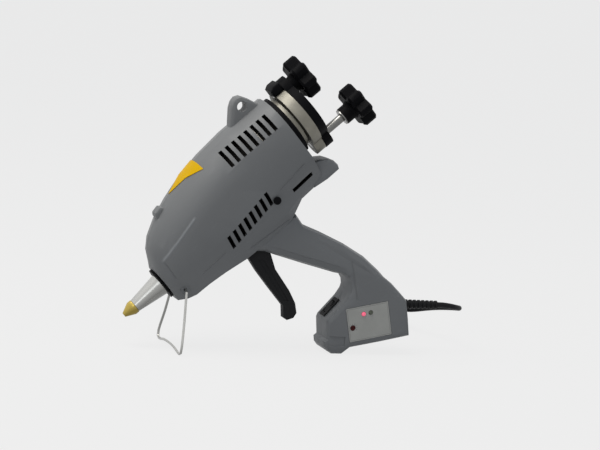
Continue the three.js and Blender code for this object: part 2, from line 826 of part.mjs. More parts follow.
function housingHalf(side) {
  const halfSpace = side < 0
    ? block(-far, 3 * far, -far, -fitGap / 2, -far, 3 * far)
    : block(-far, 3 * far, fitGap / 2, far, -far, 3 * far);
  const bosses = [
    ...screwPlaces.map((p) => common(crossPin(p.x, p.z, bossRadius, -far, far, 6), shellOuter)),
    common(crossPin(pivot.x, pivot.z, triggerHubRadius, -far, far, 12), shellOuter),
    ...standBosses(standTopHalfWidth - wireRadius),
  ];
  const skin = cut(shellOuter, shellHollow);
  const half = join(...[skin, ...bosses].map((piece) => common(piece, halfSpace)));
  return cut(half, ...housingCutters(side), ...sideCutters(side));
}

add(stood, 'housing_near', housingHalf(-1), 'housing');
add(stood, 'housing_far', housingHalf(1), 'housing');

screwPlaces.forEach((p, i) => {
  const headFrom = bossHalfLength + fitGap;
  add(stood, `housing_screw_${i + 1}`, join(
    crossPin(p.x, p.z, screwRadius, fitGap - bossHalfLength, headFrom, 6),
    crossPin(p.x, p.z, screwHeadRadius, headFrom, headFrom + screwHeadHeight, 8),
  ), 'steel');
});

// Nozzle
const tipShoulderShare = 0.72;
function nozzleTip() {
  return cut(
    turned([
      [0, 0], [0, tipMouthRadius], [tipShoulderShare * tipLength, tipBaseRadius], [tipLength, tipBaseRadius],
      [tipLength, 0],
    ], 12),
    disc(-overrun, tipLength + overrun, glueHoleRadius, 12),
  );
}
add(gun, 'nozzle_tip', nozzleTip(), 'brass');

function nozzleBody() {
  const outside = turned([
    [nozzleStart, 0], [nozzleStart, nozzleFrontRadius], [collarStart - fitGap, nozzleRearRadius],
    [collarStart - fitGap, nozzleStepRadius], [nozzleEnd + fitGap, nozzleStepRadius],
    [nozzleEnd + fitGap, threadRadius], [threadEnd, threadRadius], [threadEnd, 0],
  ]);
  return cut(outside,
    disc(nozzleStart - overrun, threadEnd, nozzleBoreRadius, 12),
    disc(threadEnd - chamberDepth, threadEnd + overrun, chamberRadius, 12));
}
add(gun, 'nozzle_body', nozzleBody(), 'steel');
add(gun, 'nozzle_collar', ring(collarStart, nozzleEnd, nozzleStepRadius + fitGap, collarRadius, 24), 'black');

// A spring's path winds upright along Z, with a flat half turn at each end
function springPath(fromAlong, toAlong, radius, turns, steps) {
  const count = Math.round(turns * steps);
  return Array.from({ length: count + 1 }, (_, i) => {
    const turn = i * 2 * Math.PI / steps;
    const share = THREE.MathUtils.clamp((i - steps / 2) / (count - steps), 0, 1);
    const along = THREE.MathUtils.lerp(fromAlong, toAlong, share);
    return new THREE.Vector3(radius * Math.cos(turn), radius * Math.sin(turn), along);
  });
}

function spring(name, fromAlong, toAlong, radius, wire, turns) {
  const steps = 8;
  const centres = springPath(fromAlong + wire, toAlong - wire, radius, turns, steps);
  const spacing = 2 * Math.PI * radius / steps;
  console.log(`${name} least gap to itself ${leastGap(centres, wire, spacing).toFixed(2)} mm`);
  add(gun, name, woundTube(centres, wire, 5).rotateY(Math.PI / 2), 'steel');
}

const ballAlong = threadEnd - Math.sqrt(ballRadius ** 2 - seatRadius ** 2) + fitGap / 2;
const ball = new THREE.SphereGeometry(ballRadius, 10, 6).rotateZ(Math.PI / 2).translate(ballAlong, 0, 0);
add(gun, 'outlet_ball', ball, 'steel');
spring('outlet_spring', threadEnd - chamberDepth + fitGap, ballAlong - ballRadius - fitGap,
  outletSpringRadius, outletWireRadius, springTurns);

// Tank casting with its neck; skin makes it larger, to cut a seat for it
function tankOutside(skin) {
  const coneEnd = tankStart + tankConeLength;
  const rearWall = barrelEnd - 2 * wall;
  return turned([
    [tankStart - skin, 0], [tankStart - skin, tankNoseRadius + skin], [coneEnd, tankOuterRadius + skin],
    [rearWall, tankOuterRadius + skin], [rearWall, neckRootRadius], [insulatorEnd + fitGap, neckRootRadius],
    [insulatorEnd + fitGap, shoulderRadius], [shoulderEnd, shoulderRadius], [shoulderEnd, neckRadius],
    [flangeEnd, neckRadius], [flangeEnd, 0],
  ], 20).translate(0, 0, tankRise);
}

function tankBore() {
  const coneStart = tankStart + tankFloor;
  return turned([
    [coneStart, 0], [coneStart, tankBoreNoseRadius], [coneStart + tankBoreConeLength, tankBoreRadius],
    [barrelEnd - 3 * wall, tankBoreRadius], [barrelEnd, mouthRadius], [flangeEnd + overrun, mouthRadius],
    [flangeEnd + overrun, 0],
  ], 20).translate(0, 0, tankRise);
}

// The passage that leads the glue from the tank's floor to the pump
const inletEndShares = [0.134, 0.5];
function inlet() {
  const from = new THREE.Vector3(inletAlong, 0, 0);
  const along = THREE.MathUtils.lerp(tankStart, barrelEnd, inletEndShares[0]);
  const path = new THREE.Vector3(along, 0, tankRise - inletEndShares[1] * tankBoreRadius).sub(from);
  return disc(0, path.length(), inletRadius, 12)
    .rotateY(-Math.atan2(path.z, path.x)).translate(from.x, 0, from.z);
}

const sensorShare = 0.253;
const sensorAlong = THREE.MathUtils.lerp(tankStart, barrelEnd, sensorShare);
const sensorRise = tankRise - tankOuterRadius + sensorInset;
const sensorHole = crossPin(sensorAlong, sensorRise, sensorRadius + fitGap, -tankOuterRadius, 0, 12);
add(gun, 'tank_casting', cut(tankOutside(0), tankBore(), inlet(), sensorHole), 'aluminium');

// Pump block with the funnel that the tank sits in, as shares of the block's length and the tank's rise
const funnelShares = [
  [0.107, 0], [0.179, 0.311], [1.036, 1], [1.43, 1], [1.214, 0.533], [0.964, 0.311], [0.964, 0],
];
function pumpBlock() {
  const nose = disc(nozzleEnd + 2 * fitGap, pumpBlockStart + overrun, pumpNoseRadius);
  const middle = block(pumpBlockStart, pumpBlockEnd, -pumpBlockHalfWidth, pumpBlockHalfWidth, -pumpBlockDrop,
    pumpBlockRise);
  const funnelShape = sharedOutline(funnelShares, pumpBlockLength, tankRise, pumpBlockStart, 0);
  const funnel = plate(funnelShape, funnelHalfWidth, funnelRound, 0, 1);
  const heaterHoles = [-1, 1].map((side) => disc(
    pumpBlockEnd - heaterLength - overrun, pumpBlockEnd + overrun, heaterRadius + fitGap, 12,
  ).translate(0, side * heaterOffset, -heaterDrop));
  return cut(join(nose, middle, funnel), tankOutside(fitGap), inlet(), ...heaterHoles,
    disc(noseStart - overrun, seatStart, threadRadius + fitGap),
    disc(seatStart - fitGap, pumpBoreStart + fitGap, seatRadius, 12),
    disc(pumpBoreStart, pumpBlockEnd + overrun, sleeveOuterRadius + fitGap));
}
add(gun, 'pump_block', pumpBlock(), 'aluminium');

function pumpSleeve() {
  const port = disc(-inletRadius, sleeveOuterRadius * 2, inletRadius, 12);
  return cut(ring(pumpBoreStart + fitGap, pumpBlockEnd, plungerRadius + fitGap, sleeveOuterRadius, 12),
    port.rotateY(-Math.PI / 2).translate(inletAlong, 0, 0));
}
add(gun, 'pump_sleeve', pumpSleeve(), 'steel');

// Plunger with its seal, its spring collar and the flat tongue that the trigger's link pin crosses
const sealSeatStart = plungerFront + sealSeatInset;
const sealSeatEnd = sealSeatStart + sealSeatLength;
const tongueShares = [[0.6, -1], [1, -0.5], [1, 0.5], [0.6, 1]];

function plunger() {
  const rod = disc(plungerFront, collarRingEnd + fitGap, plungerRadius, 12);
  const tongue = plate(outline([
    [collarRingEnd, -tongueHeight],
    ...tongueShares.map(([x, z]) => [linkAlong + x * tongueHeight, z * tongueHeight]),
    [collarRingEnd, tongueHeight],
  ]), tongueHalfWidth);
  return cut(join(rod, tongue),
    ring(sealSeatStart, sealSeatEnd, plungerRadius - sealSeatDepth, plungerRadius + overrun, 12),
    ring(collarRingStart, collarRingEnd, plungerRadius - collarSeatDepth, plungerRadius + overrun, 12),
    crossPin(linkAlong, 0, linkPinRadius + fitGap, -2 * tongueHalfWidth, 2 * tongueHalfWidth, 12));
}
add(gun, 'plunger', plunger(), 'steel');
add(gun, 'plunger_seal', ring(sealSeatStart + fitGap, sealSeatEnd - fitGap,
  plungerRadius - sealSeatDepth + fitGap, plungerRadius + fitGap / 3, 12), 'silicone');
add(gun, 'spring_collar', ring(collarRingStart + fitGap, collarRingEnd - fitGap,
  plungerRadius - collarSeatDepth + fitGap, collarRingRadius, 12), 'steel');
add(gun, 'gland_nut', cut(disc(pumpBlockEnd + fitGap, pumpBlockEnd + fitGap + glandLength, glandRadius, 6),
  disc(pumpBlockEnd - overrun, springStart + overrun, plungerRadius + fitGap, 12)), 'brass');
spring('return_spring', springStart, springEnd, springRadius, springWireRadius, springTurns);

// Trigger: finger lever, hub and two cheeks that straddle the plunger's tongue
const cheekHeadShare = 2.2;
const cheekRootShare = 0.8;
const cheekTipShares = [[0.8, -1], [1.3, 0], [0.8, 1]];
const cheekGapShares = [1.4, 1.5, 2];

// The two cheeks stand on the pivot and reach up to the link pin, with a slot for it
function triggerCheeks() {
  const arm = uprightPoint(linkAlong, 0).sub(pivot);
  const length = arm.length();
  const headRadius = linkPinRadius * cheekHeadShare;
  const rootHeight = triggerHubRadius * cheekRootShare;
  const place = (geometry) => geometry.rotateY(-Math.atan2(arm.z, arm.x)).translate(pivot.x, 0, pivot.z);
  const strip = outline([
    [0, -rootHeight],
    ...cheekTipShares.map(([x, z]) => [length + x * headRadius, z * headRadius]),
    [0, rootHeight],
  ]);
  const slotHalf = linkPinRadius + fitGap;
  const slot = block(length - 1.5 * slotHalf, length + 1.5 * slotHalf, -triggerHalfWidth - overrun,
    triggerHalfWidth + overrun, -slotHalf, slotHalf);
  const [gapFrom, gapTo, gapHeight] = cheekGapShares;
  const between = block(gapFrom * triggerHubRadius, gapTo * length, armThickness - triggerHalfWidth,
    triggerHalfWidth - armThickness, -gapHeight * triggerHubRadius, gapHeight * triggerHubRadius);
  return cut(place(plate(strip, triggerHalfWidth)), place(between), place(slot));
}

function triggerSolid() {
  const grooveShape = sharedOutline(grooveShares, triggerSweep, triggerDrop, pivot.x, pivot.z);
  const grooves = [-1, 1].map((side) => plate(grooveShape, triggerHalfWidth)
    .translate(0, side * (2 * triggerHalfWidth - grooveDepth), 0));
  const lever = cut(plate(leverShape(), triggerHalfWidth, triggerRound), ...grooves);
  const hub = crossPin(pivot.x, pivot.z, triggerHubRadius, -triggerHalfWidth, triggerHalfWidth, 24);
  return cut(join(triggerCheeks(), lever, hub),
    crossPin(pivot.x, pivot.z, triggerPinRadius + fitGap, -triggerHalfWidth * 2, triggerHalfWidth * 2));
}
add(stood, 'trigger', triggerSolid(), 'black');
add(stood, 'trigger_pin',
  crossPin(pivot.x, pivot.z, triggerPinRadius, -triggerPinHalfLength, triggerPinHalfLength), 'steel');
add(gun, 'link_pin', crossPin(linkAlong, 0, linkPinRadius, -triggerHalfWidth, triggerHalfWidth, 12), 'steel');

// Heaters, thermostat, sensor, the tank's rear support and the insulating ring at the mouth
for (const [name, side] of [['heater_near', -1], ['heater_far', 1]]) {
  add(gun, name, disc(pumpBlockEnd - heaterLength, pumpBlockEnd + heaterStub, heaterRadius, 12)
    .translate(0, side * heaterOffset, -heaterDrop), 'steel');
}

const thermostatShare = 0.431;
const thermostatTabShares = [0.5, 1.4];
function thermostat() {
  const [inner, outer] = thermostatTabShares;
  const along = THREE.MathUtils.lerp(tankStart, barrelEnd, thermostatShare);
  return join(
    crossPin(0, 0, thermostatRadius, 0, thermostatHeight, 20).rotateX(-Math.PI / 2),
    block(-inner * thermostatRadius, inner * thermostatRadius, -thermostatTabHalf, thermostatTabHalf,
      -outer * thermostatHeight, -inner * thermostatHeight),
  ).translate(along, 0, tankRise - tankOuterRadius - fitGap);
}
add(gun, 'thermostat', thermostat(), 'ceramic');
add(gun, 'temperature_sensor',
  crossPin(sensorAlong, sensorRise, sensorRadius, -sensorTip - sensorLength, -sensorTip, 12), 'steel');

const supportStart = barrelEnd - supportInset;
add(gun, 'rear_tank_support', ring(supportStart, supportStart + supportThickness, tankOuterRadius + fitGap,
  barrelHalfWidth - wall - 2 * fitGap, 24).translate(0, 0, tankRise), 'ceramic');
add(gun, 'mouth_insulator', ring(barrelEnd + fitGap, insulatorEnd, neckRootRadius + fitGap,
  insulatorRadius, 32).translate(0, 0, tankRise), 'black');

// Clamp flange with its two stud seats
function ear(from, to, rise, radius) {
  return disc(from, to, radius).translate(0, 0, rise);
}
const guardSeat = tankRise + flangeRadius - guardSink;

function flange() {
  const body = join(
    disc(flangeStart, flangeEnd, flangeRadius, 32).translate(0, 0, tankRise),
    ear(flangeStart, flangeEnd, lowerStudRise, flangeEarRadius),
  );
  const studHoles = [lowerStudRise, upperStudAt].map((rise) => disc(
    flangeStart - overrun, flangeEnd + overrun, studRadius + fitGap, 12,
  ).translate(0, 0, rise));
  return cut(body, ...studHoles,
    disc(flangeStart - overrun, flangeEnd + overrun, neckRadius + fitGap, 20).translate(0, 0, tankRise),
    block(flangeStart - overrun, flangeEnd + overrun, -guardHalfWidth - fitGap, guardHalfWidth + fitGap,
      guardSeat, guardSeat + flangeRadius));
}
add(gun, 'clamp_flange', flange(), 'aluminium');

const guardFrontShares = [[0, 0.75], [0.36, 1]];
function earGuard() {
  const front = flangeStart - guardOverhang;
  return plate(outline([
    [front, 0],
    ...guardFrontShares.map(([x, z]) => [front + x * guardLength, z * guardThickness]),
    [flangeEnd, guardThickness], [flangeEnd, 0],
  ]), guardHalfWidth, guardRound).translate(0, 0, guardSeat + fitGap);
}
add(gun, 'ear_guard', earGuard(), 'black');

// Lid plate, which swings on the upper stud once the lower knob is lifted
const slotSwingShare = 0.4;
const bridgeShares = [0.92, 0.95];
const sealInnerRadius = mouthRadius + sealLip;

// The curved slot that lets the lid swing off the lower stud
function lidSlot() {
  const studReach = lowerStudDrop + upperStudRise;
  const slotHalf = studRadius + 2 * fitGap;
  const slotTurn = lidSwingDegrees * slotSwingShare * degrees;
  const steps = 6;
  const arc = (radius, from, to) => Array.from({ length: steps + 1 }, (_, i) => {
    const turn = from + (to - from) * i / steps;
    return [radius * Math.sin(turn), upperStudAt - radius * Math.cos(turn)];
  });
  const shape = outline([
    ...arc(studReach + slotHalf, 0, slotTurn),
    ...arc(studReach - slotHalf, slotTurn, 0),
  ]);
  const acrossToAlong = new THREE.Matrix4().makeBasis(
    new THREE.Vector3(0, 1, 0), new THREE.Vector3(0, 0, 1), new THREE.Vector3(1, 0, 0),
  );
  return new THREE.ExtrudeGeometry(shape, { depth: lidThickness + 2 * overrun, bevelEnabled: false })
    .applyMatrix4(acrossToAlong).translate(lidStart - overrun, 0, 0);
}

function lidPlate() {
  const lowerBridge = lidEarRadius * bridgeShares[0];
  const upperBridge = upperEarRadius * bridgeShares[1];
  const studHoles = [lowerStudRise, upperStudAt].map((rise) => disc(
    lidStart - overrun, lidEnd + overrun, studRadius + 2 * fitGap, 12,
  ).translate(0, 0, rise));
  const body = join(
    disc(lidStart, lidEnd, lidRadius, 32).translate(0, 0, tankRise),
    ear(lidStart, lidEnd, lowerStudRise, lidEarRadius),
    ear(lidStart, lidEnd, upperStudAt, upperEarRadius),
    block(lidStart, lidEnd, -lowerBridge, lowerBridge, lowerStudRise, tankRise),
    block(lidStart, lidEnd, -upperBridge, upperBridge, tankRise, upperStudAt),
  );
  return cut(body, lidSlot(), ...studHoles,
    disc(pocketStart, lidEnd + overrun, pocketRadius).translate(0, 0, upperStudAt),
    ring(lidStart - overrun, lidStart + sealHeight, sealInnerRadius - fitGap,
      sealInnerRadius + sealWidth + fitGap, 12).translate(0, 0, tankRise));
}
add(gun, 'lid_plate', lidPlate(), 'black');
add(gun, 'lid_seal', ring(lidStart, lidStart + sealHeight - fitGap, sealInnerRadius,
  sealInnerRadius + sealWidth, 12).translate(0, 0, tankRise), 'silicone');

// Studs, washers and star knobs; the lower knob is shown screwed up its stud
const upperStudShare = 0.7;
const bushShare = 0.78;
const upperWasherStart = pocketStart + fitGap;
const lowerWasherStart = lidEnd + lowerKnobLift;
const upperKnobStart = upperWasherStart + washerThickness + fitGap;
const lowerKnobStart = lowerWasherStart + washerThickness + fitGap;
const bushDepth = hubLength + knobThickness * bushShare;
const clampSets = [
  {
    name: 'lower', rise: lowerStudRise, washerAt: lowerWasherStart, knobAt: lowerKnobStart,
    studEnd: lowerKnobStart + studEngagement,
  },
  {
    name: 'upper', rise: upperStudAt, washerAt: upperWasherStart, knobAt: upperKnobStart,
    studEnd: upperKnobStart + hubLength + knobThickness * upperStudShare,
  },
];

const lobeSharpness = 1.4;
const hubShares = [0.7, 1.3];
function starHead(start, depth) {
  const stepsPerLobe = 6;
  const count = knobLobes * stepsPerLobe;
  const edge = Array.from({ length: count }, (_, i) => {
    const turn = i * 2 * Math.PI / count;
    const wave = (1 - Math.cos(knobLobes * turn)) / 2;
    const radius = knobRadius - lobeDepth * wave ** lobeSharpness;
    return [radius * Math.sin(turn), radius * Math.cos(turn)];
  });
  const head = plate(outline(edge), knobThickness / 2, knobEdge, 0, 1)
    .rotateZ(-Math.PI / 2).translate(start + hubLength + knobThickness / 2, 0, 0);
  const hub = turned([
    [start, 0], [start, hubRadius], [start + hubLength * hubShares[0], hubRadius],
    [start + hubLength + overrun, hubRadius * hubShares[1]], [start + hubLength + overrun, 0],
  ]);
  return cut(join(head, hub), disc(start - overrun, start + depth, bushRadius + fitGap, 12),
    disc(start - overrun, start + hubLength + knobThickness + overrun, studRadius + 2 * fitGap, 12));
}

for (const { name, rise, washerAt, knobAt, studEnd } of clampSets) {
  const raised = (geometry) => geometry.translate(0, 0, rise);
  add(gun, `${name}_stud`, raised(disc(flangeStart, studEnd, studRadius, 12)), 'steel');
  add(gun, `${name}_washer`,
    raised(ring(washerAt, washerAt + washerThickness, studRadius + fitGap, washerRadius, 12)), 'steel');
  add(gun, `${name}_star_knob`, raised(starHead(knobAt, bushDepth)), 'black');
  add(gun, `${name}_knob_bush`,
    raised(ring(knobAt + fitGap, knobAt + bushDepth - fitGap, studRadius + fitGap, bushRadius, 12)), 'brass');
}

// Plug over the side recess
add(gun, 'side_plug', crossPin(barrelEnd - plugInset, plugRise, plugRadius,
  -plugFace - fitGap - plugThickness, -plugFace - fitGap), 'black');

// The patch is a thin piece of the barrel's own skin, cut out by a three-sided column
const patchShares = [[0.313, 0], [0.522, -0.61], [0.522, 0.61]];
function yellowPatch() {
  const skin = cut(barrelSolid(-fitGap - patchThickness), barrelSolid(-fitGap));
  const corners = patchShares.map(([x, y]) => [noseStart + x * barrelLength, y * barrelHalfWidth]);
  const column = new THREE.ExtrudeGeometry(outline(corners), { depth: barrelHeight, bevelEnabled: false });
  return common(skin, column.translate(0, 0, tankRise));
}
add(gun, 'yellow_patch', yellowPatch(), 'yellow');

// Wire stand, drawn in the upright frame: shares of the wire's radius bend its shoulders and feet
const shoulderShares = [[0.05, 3.4, 1.4], [0.12, 4.6, 4.6]];
const legShares = [0.5, 0.62];
const footShares = [[0, 0.35, 1], [0.25, 0.8, 0.3]];
const crossbarShares = [[-1, 0], [-0.5, 0.75], [0, 1], [0.5, 0.75], [1, 0]];
const crossbarInset = 0.3 * wireRadius;

function wireStand() {
  const top = standPivot;
  const foot = top.x - standLean;
  const low = wireRadius + fitGap / 2;
  const legPoints = (side) => [
    [top.x, side * (standBossStart + wireRadius), top.z],
    [top.x, side * (standTopHalfWidth + wireRadius), top.z],
    ...shoulderShares.map(([lean, out, down]) => [
      top.x - lean * standLean, side * (standTopHalfWidth + out * wireRadius), top.z - down * wireRadius,
    ]),
    [
      top.x - legShares[0] * standLean,
      side * THREE.MathUtils.lerp(standTopHalfWidth, standHalfWidth, legShares[1]), top.z * legShares[0],
    ],
    ...footShares.map(([back, inward, rise]) => [
      foot - back * wireRadius, side * (standHalfWidth - inward * wireRadius), low + rise * wireBend,
    ]),
  ];
  const barHalf = standHalfWidth - 0.7 * wireBend;
  const crossbar = crossbarShares
    .map(([y, arch]) => [foot - crossbarInset, y * barHalf, low + arch * standArch]);
  return pathTube([...legPoints(-1), ...crossbar, ...legPoints(1).reverse()], wireRadius, 6, standSteps);
}
add(stood, 'wire_stand', wireStand(), 'steel');

// Switch, panel, lamps, trimmer and board in the base
function switchFrame() {
  const canHalf = switchCanShares[0] * switchLength - fitGap;
  const canHalfWidth = switchCanShares[1] * switchWidth - fitGap;
  const wellHalf = rockerShares[0] * switchLength;
  const wellHalfWidth = rockerShares[1] * switchWidth;
  const rim = block(-switchLength / 2, switchLength / 2, -switchWidth / 2, switchWidth / 2, fitGap,
    fitGap + bezelThickness);
  const can = block(-canHalf, canHalf, -canHalfWidth, canHalfWidth, -switchCanDepth,
    fitGap + bezelThickness / 2);
  const well = block(-wellHalf, wellHalf, -wellHalfWidth, wellHalfWidth, -switchCanDepth * 0.6,
    bezelThickness + overrun);
  return onSwitchFace(cut(join(rim, can), well));
}
add(stood, 'switch_frame', switchFrame(), 'black');

function rocker() {
  const length = rockerShares[0] * switchLength - 2 * fitGap;
  const lean = length * Math.tan(rockerDegrees / 2 * degrees);
  const shape = outline([
    [-length, -rockerAxisDrop * 0.6], [-length * 0.96, bezelThickness - lean * 0.2],
    [0, bezelThickness + rockerSink], [length * 0.9, rockerRise], [length * 0.94, -rockerAxisDrop * 0.4],
    [length * 0.3, -rockerAxisDrop * 1.6], [-length * 0.3, -rockerAxisDrop * 1.6],
  ]);
  return onSwitchFace(plate(shape, rockerShares[1] * switchWidth - fitGap));
}
add(stood, 'switch_rocker', rocker(), 'black');

const panelFace = -baseHalfWidth;
function ratingPanel() {
  const sheet = block(-panelLength / 2, panelLength / 2, panelFace - fitGap / 2,
    panelFace + panelThickness - fitGap, -panelHeight / 2, panelHeight / 2);
  const holes = panelHoles.map(([[x, z], radius]) => crossPin(
    x, z, radius + fitGap, panelFace - overrun, panelFace + overrun, 12,
  ));
  return onPanel(cut(sheet, ...holes));
}
add(stood, 'rating_panel', ratingPanel(), 'panel');

// Circuit board with a relay and a dropper, as shares of the panel's length and height
const boardShares = [[-0.46, -0.34], [0.4, 0.38]];
const relayShares = [[0, -0.3], [0.3, 0.05]];
const dropperShares = [[-0.14, -0.05], [-0.03, 0.3]];
const boardFace = boardDepth - baseHalfWidth;
const boardBack = boardFace + boardThickness;

function boardBlock([[fromX, fromZ], [toX, toZ]], fromY, toY) {
  return block(fromX * panelLength, toX * panelLength, fromY, toY, fromZ * panelHeight, toZ * panelHeight);
}
add(stood, 'circuit_board', onPanel(join(
  boardBlock(boardShares, boardFace, boardBack),
  boardBlock(relayShares, boardBack - fitGap / 3, boardFace + relayHeight),
  boardBlock(dropperShares, boardBack - fitGap / 3, boardFace + dropperHeight),
)), 'board');

const domeShares = [0.77, 0.6];
function lampLens([x, z]) {
  const profile = [
    [0, 0], [0, lampRadius], [boardDepth + fitGap, lampRadius],
    [boardDepth + domeShares[0] * lampDome, domeShares[1] * lampRadius], [boardDepth + lampDome, 0],
  ];
  return onPanel(turned(profile, 10).rotateZ(-Math.PI / 2).translate(x, boardFace - fitGap, z));
}
add(stood, 'red_lamp', lampLens(redLampAt), 'redLamp');
add(stood, 'green_lamp', lampLens(greenLampAt), 'greenLamp');

const trimmerSlotShare = 0.7;
function trimmer() {
  const [x, z] = trimmerAt;
  const face = panelFace + trimmerSink;
  const slotHalf = trimmerRadius * trimmerSlotShare;
  return onPanel(cut(
    crossPin(x, z, trimmerRadius, face, boardFace - fitGap, 12),
    block(x - slotHalf, x + slotHalf, panelFace - overrun, face + trimmerSlotDepth, z - trimmerSlotHalf,
      z + trimmerSlotHalf),
  ));
}
add(stood, 'temperature_trimmer', trimmer(), 'darkRed');

function terminalBlock() {
  const halfLength = terminalLength / 2;
  const halfHeight = terminalHeight / 2;
  const seat = boardBack + fitGap;
  const [x, z] = onPanelSheet(terminalShares);
  const body = block(-halfLength, halfLength, seat, seat + terminalDepth, -halfHeight, halfHeight);
  const wires = [-1, 0, 1].map((side) => crossPin(side * terminalPitch, 0, terminalHoleRadius,
    seat + terminalDepth / 3, seat + terminalDepth + overrun, 10));
  return onPanel(cut(body, ...wires).translate(x, 0, z));
}
add(stood, 'terminal_block', terminalBlock(), 'ceramic');

// Strain relief: a flange behind the rear wall, a neck through it and a ribbed sleeve outside
const reliefEnd = reliefStart + reliefLength;
const ringShares = [0.1, 0.4, 0.5, 1];
function strainRelief() {
  const seat = reliefStart - reliefSeat;
  const ringsFrom = reliefStart + reliefNeckLength;
  const pitch = (reliefEnd - ringsFrom) / reliefRings;
  const profile = [
    [seat - reliefFlangeThickness, 0], [seat - reliefFlangeThickness, reliefRadius + reliefFlange],
    [seat, reliefRadius + reliefFlange], [seat, reliefRadius], [ringsFrom, reliefRadius],
  ];
  for (let i = 0; i < reliefRings; i += 1) {
    const from = ringsFrom + i * pitch;
    const radius = THREE.MathUtils.lerp(reliefRadius, reliefEndRadius, (i + 1) / reliefRings);
    const radii = [radius - reliefGroove, radius - reliefGroove, radius, radius];
    profile.push(...ringShares.map((share, k) => [from + share * pitch, radii[k]]));
  }
  profile.push([reliefEnd, 0]);
  return turned(profile, 10).translate(0, 0, reliefRise);
}
add(stood, 'strain_relief', strainRelief(), 'rubber');

function cordClamp() {
  const bar = block(-clampHalfLength, clampHalfLength, -clampHalfWidth, clampHalfWidth, 0, clampThickness);
  const screws = [-1, 1].map((side) => crossPin(
    0, 0, clampScrewRadius, clampThickness - fitGap, clampThickness + clampScrewHeight, 12,
  ).rotateX(Math.PI / 2).translate(0, side * clampScrewSpread, 0));
  return join(bar, ...screws).translate(reliefStart - clampInset, 0, reliefRise + leadDiameter / 2 + fitGap);
}
add(stood, 'cord_clamp', cordClamp(), 'steel');

// The lead: a free stretch, the coil and the plug. Places are measured from the relief's end.
const leadRadius = leadDiameter / 2;
const coilPitch = leadDiameter + coilGap;
const coilCentre = [-20.6, 155];
const floorDrop = -reliefRise + leadRadius + fitGap / 3;
const coilTop = floorDrop + (coilLayers - 1) * coilPitch;
const leadRoute = [
  [fitGap, 0, 0], [9, 0, -0.2], [17.6, 1.3, -1.4], [25.5, 5.2, -3.2], [31.8, 11, -5],
  [36.3, 18.8, -6.7], [38.7, 28, -8.4], [39.5, 38, -10.1], [39.2, 50, -12.2], [37.9, 62, -14.4],
  [35.5, 75, -17], [32.1, 88, -20], [28.1, 101, -23.4], [24, 114, -27], [20.6, 127, -30.1],
  [18.2, 139, -32],
];
const coilStart = [coilCentre[0] + coilOuterRadius, coilCentre[1] - leadDiameter, coilTop];

// The coil spirals in and out again, layer below layer, and changes layer in the half turn between
function coilPath() {
  const turnsPerLayer = coilTurns / coilLayers;
  const count = Math.round(coilTurns * stepsPerTurn);
  const centres = [];
  for (let i = 0; i <= count; i += 1) {
    const turns = i / stepsPerTurn;
    const layer = Math.min(Math.floor(turns / turnsPerLayer), coilLayers - 1);
    const inLayer = turns - layer * turnsPerLayer;
    const drift = layer % 2 === 0 ? inLayer : turnsPerLayer - inLayer;
    let dropped = 0;
    for (let k = 1; k < coilLayers; k += 1) {
      dropped += THREE.MathUtils.smoothstep(turns, k * turnsPerLayer - 0.25, k * turnsPerLayer + 0.25);
    }
    const radius = coilOuterRadius - drift * coilPitch;
    const angle = turns * 2 * Math.PI;
    centres.push(new THREE.Vector3(
      coilCentre[0] + radius * Math.cos(angle), coilCentre[1] + radius * Math.sin(angle),
      coilTop - dropped * coilPitch,
    ));
  }
  centres.unshift(centres[0].clone().add(new THREE.Vector3(0, -leadDiameter, 0)));
  const tail = centres[centres.length - 1].clone();
  for (let i = 1; i <= 3; i += 1) {
    centres.push(tail.clone().add(new THREE.Vector3(0, i * 1.4 * leadDiameter, 0)));
  }
  return centres;
}

function pathLength(centres) {
  return centres.slice(1).reduce((sum, p, i) => sum + p.distanceTo(centres[i]), 0);
}

const coilCentres = coilPath();
const coilSpacing = 2 * Math.PI * coilOuterRadius / stepsPerTurn;
console.log(`coil least gap to itself ${leastGap(coilCentres, leadRadius, coilSpacing * 0.7).toFixed(2)} mm`);
const freePoints = [...leadRoute, [coilStart[0], coilStart[1] - fitGap, coilStart[2]]];
const freeCurve = new THREE.CatmullRomCurve3(freePoints.map((p) => new THREE.Vector3(...p)));
const freeLength = pathLength(freeCurve.getPoints(200));
console.log(`free lead ${freeLength.toFixed(0)} mm, coiled lead ${pathLength(coilCentres).toFixed(0)} mm`);

lead.position.set(reliefEnd, 0, reliefRise);
add(lead, 'lead_free', pathTube(freePoints, leadRadius, leadSides, leadSteps), 'rubber');
add(lead, 'lead_coil', woundTube(coilCentres, leadRadius, coilSides), 'rubber');

// Plug with two round pins; it lies on the rim of its body, so its axis climbs from the cord
const plugShoulderShare = 0.54;
const plugRimShares = [0.82, 0.94];
function plug() {
  const bodyEnd = plugNeckLength + plugBodyLength;
  const body = turned([
    [0, 0], [0, leadRadius + plugNeckSkin], [plugNeckLength, leadRadius + plugNeckSkin + plugNeckGrowth],
    [plugNeckLength + plugShoulder, plugShoulderShare * plugBodyRadius],
    [plugNeckLength + plugRimShares[0] * plugBodyLength, plugRimShares[1] * plugBodyRadius],
    [bodyEnd, plugBodyRadius], [bodyEnd, 0],
  ]);
  const pins = [-1, 1].map((side) => disc(bodyEnd - overrun, bodyEnd + plugPinLength, plugPinRadius, 10)
    .translate(0, side * plugPinSpread, 0));
  return join(body, ...pins);
}
const tailEnd = coilCentres[coilCentres.length - 1];
const tailBefore = coilCentres[coilCentres.length - 2];
const tailTurn = Math.atan2(tailEnd.y - tailBefore.y, tailEnd.x - tailBefore.x);
const plugClimb = Math.asin((plugBodyRadius - leadRadius) / (plugNeckLength + plugBodyLength));
const plugAt = tailEnd.clone()
  .add(new THREE.Vector3(Math.cos(tailTurn), Math.sin(tailTurn), 0).multiplyScalar(3 * fitGap))
  .add(new THREE.Vector3(0, 0, fitGap));
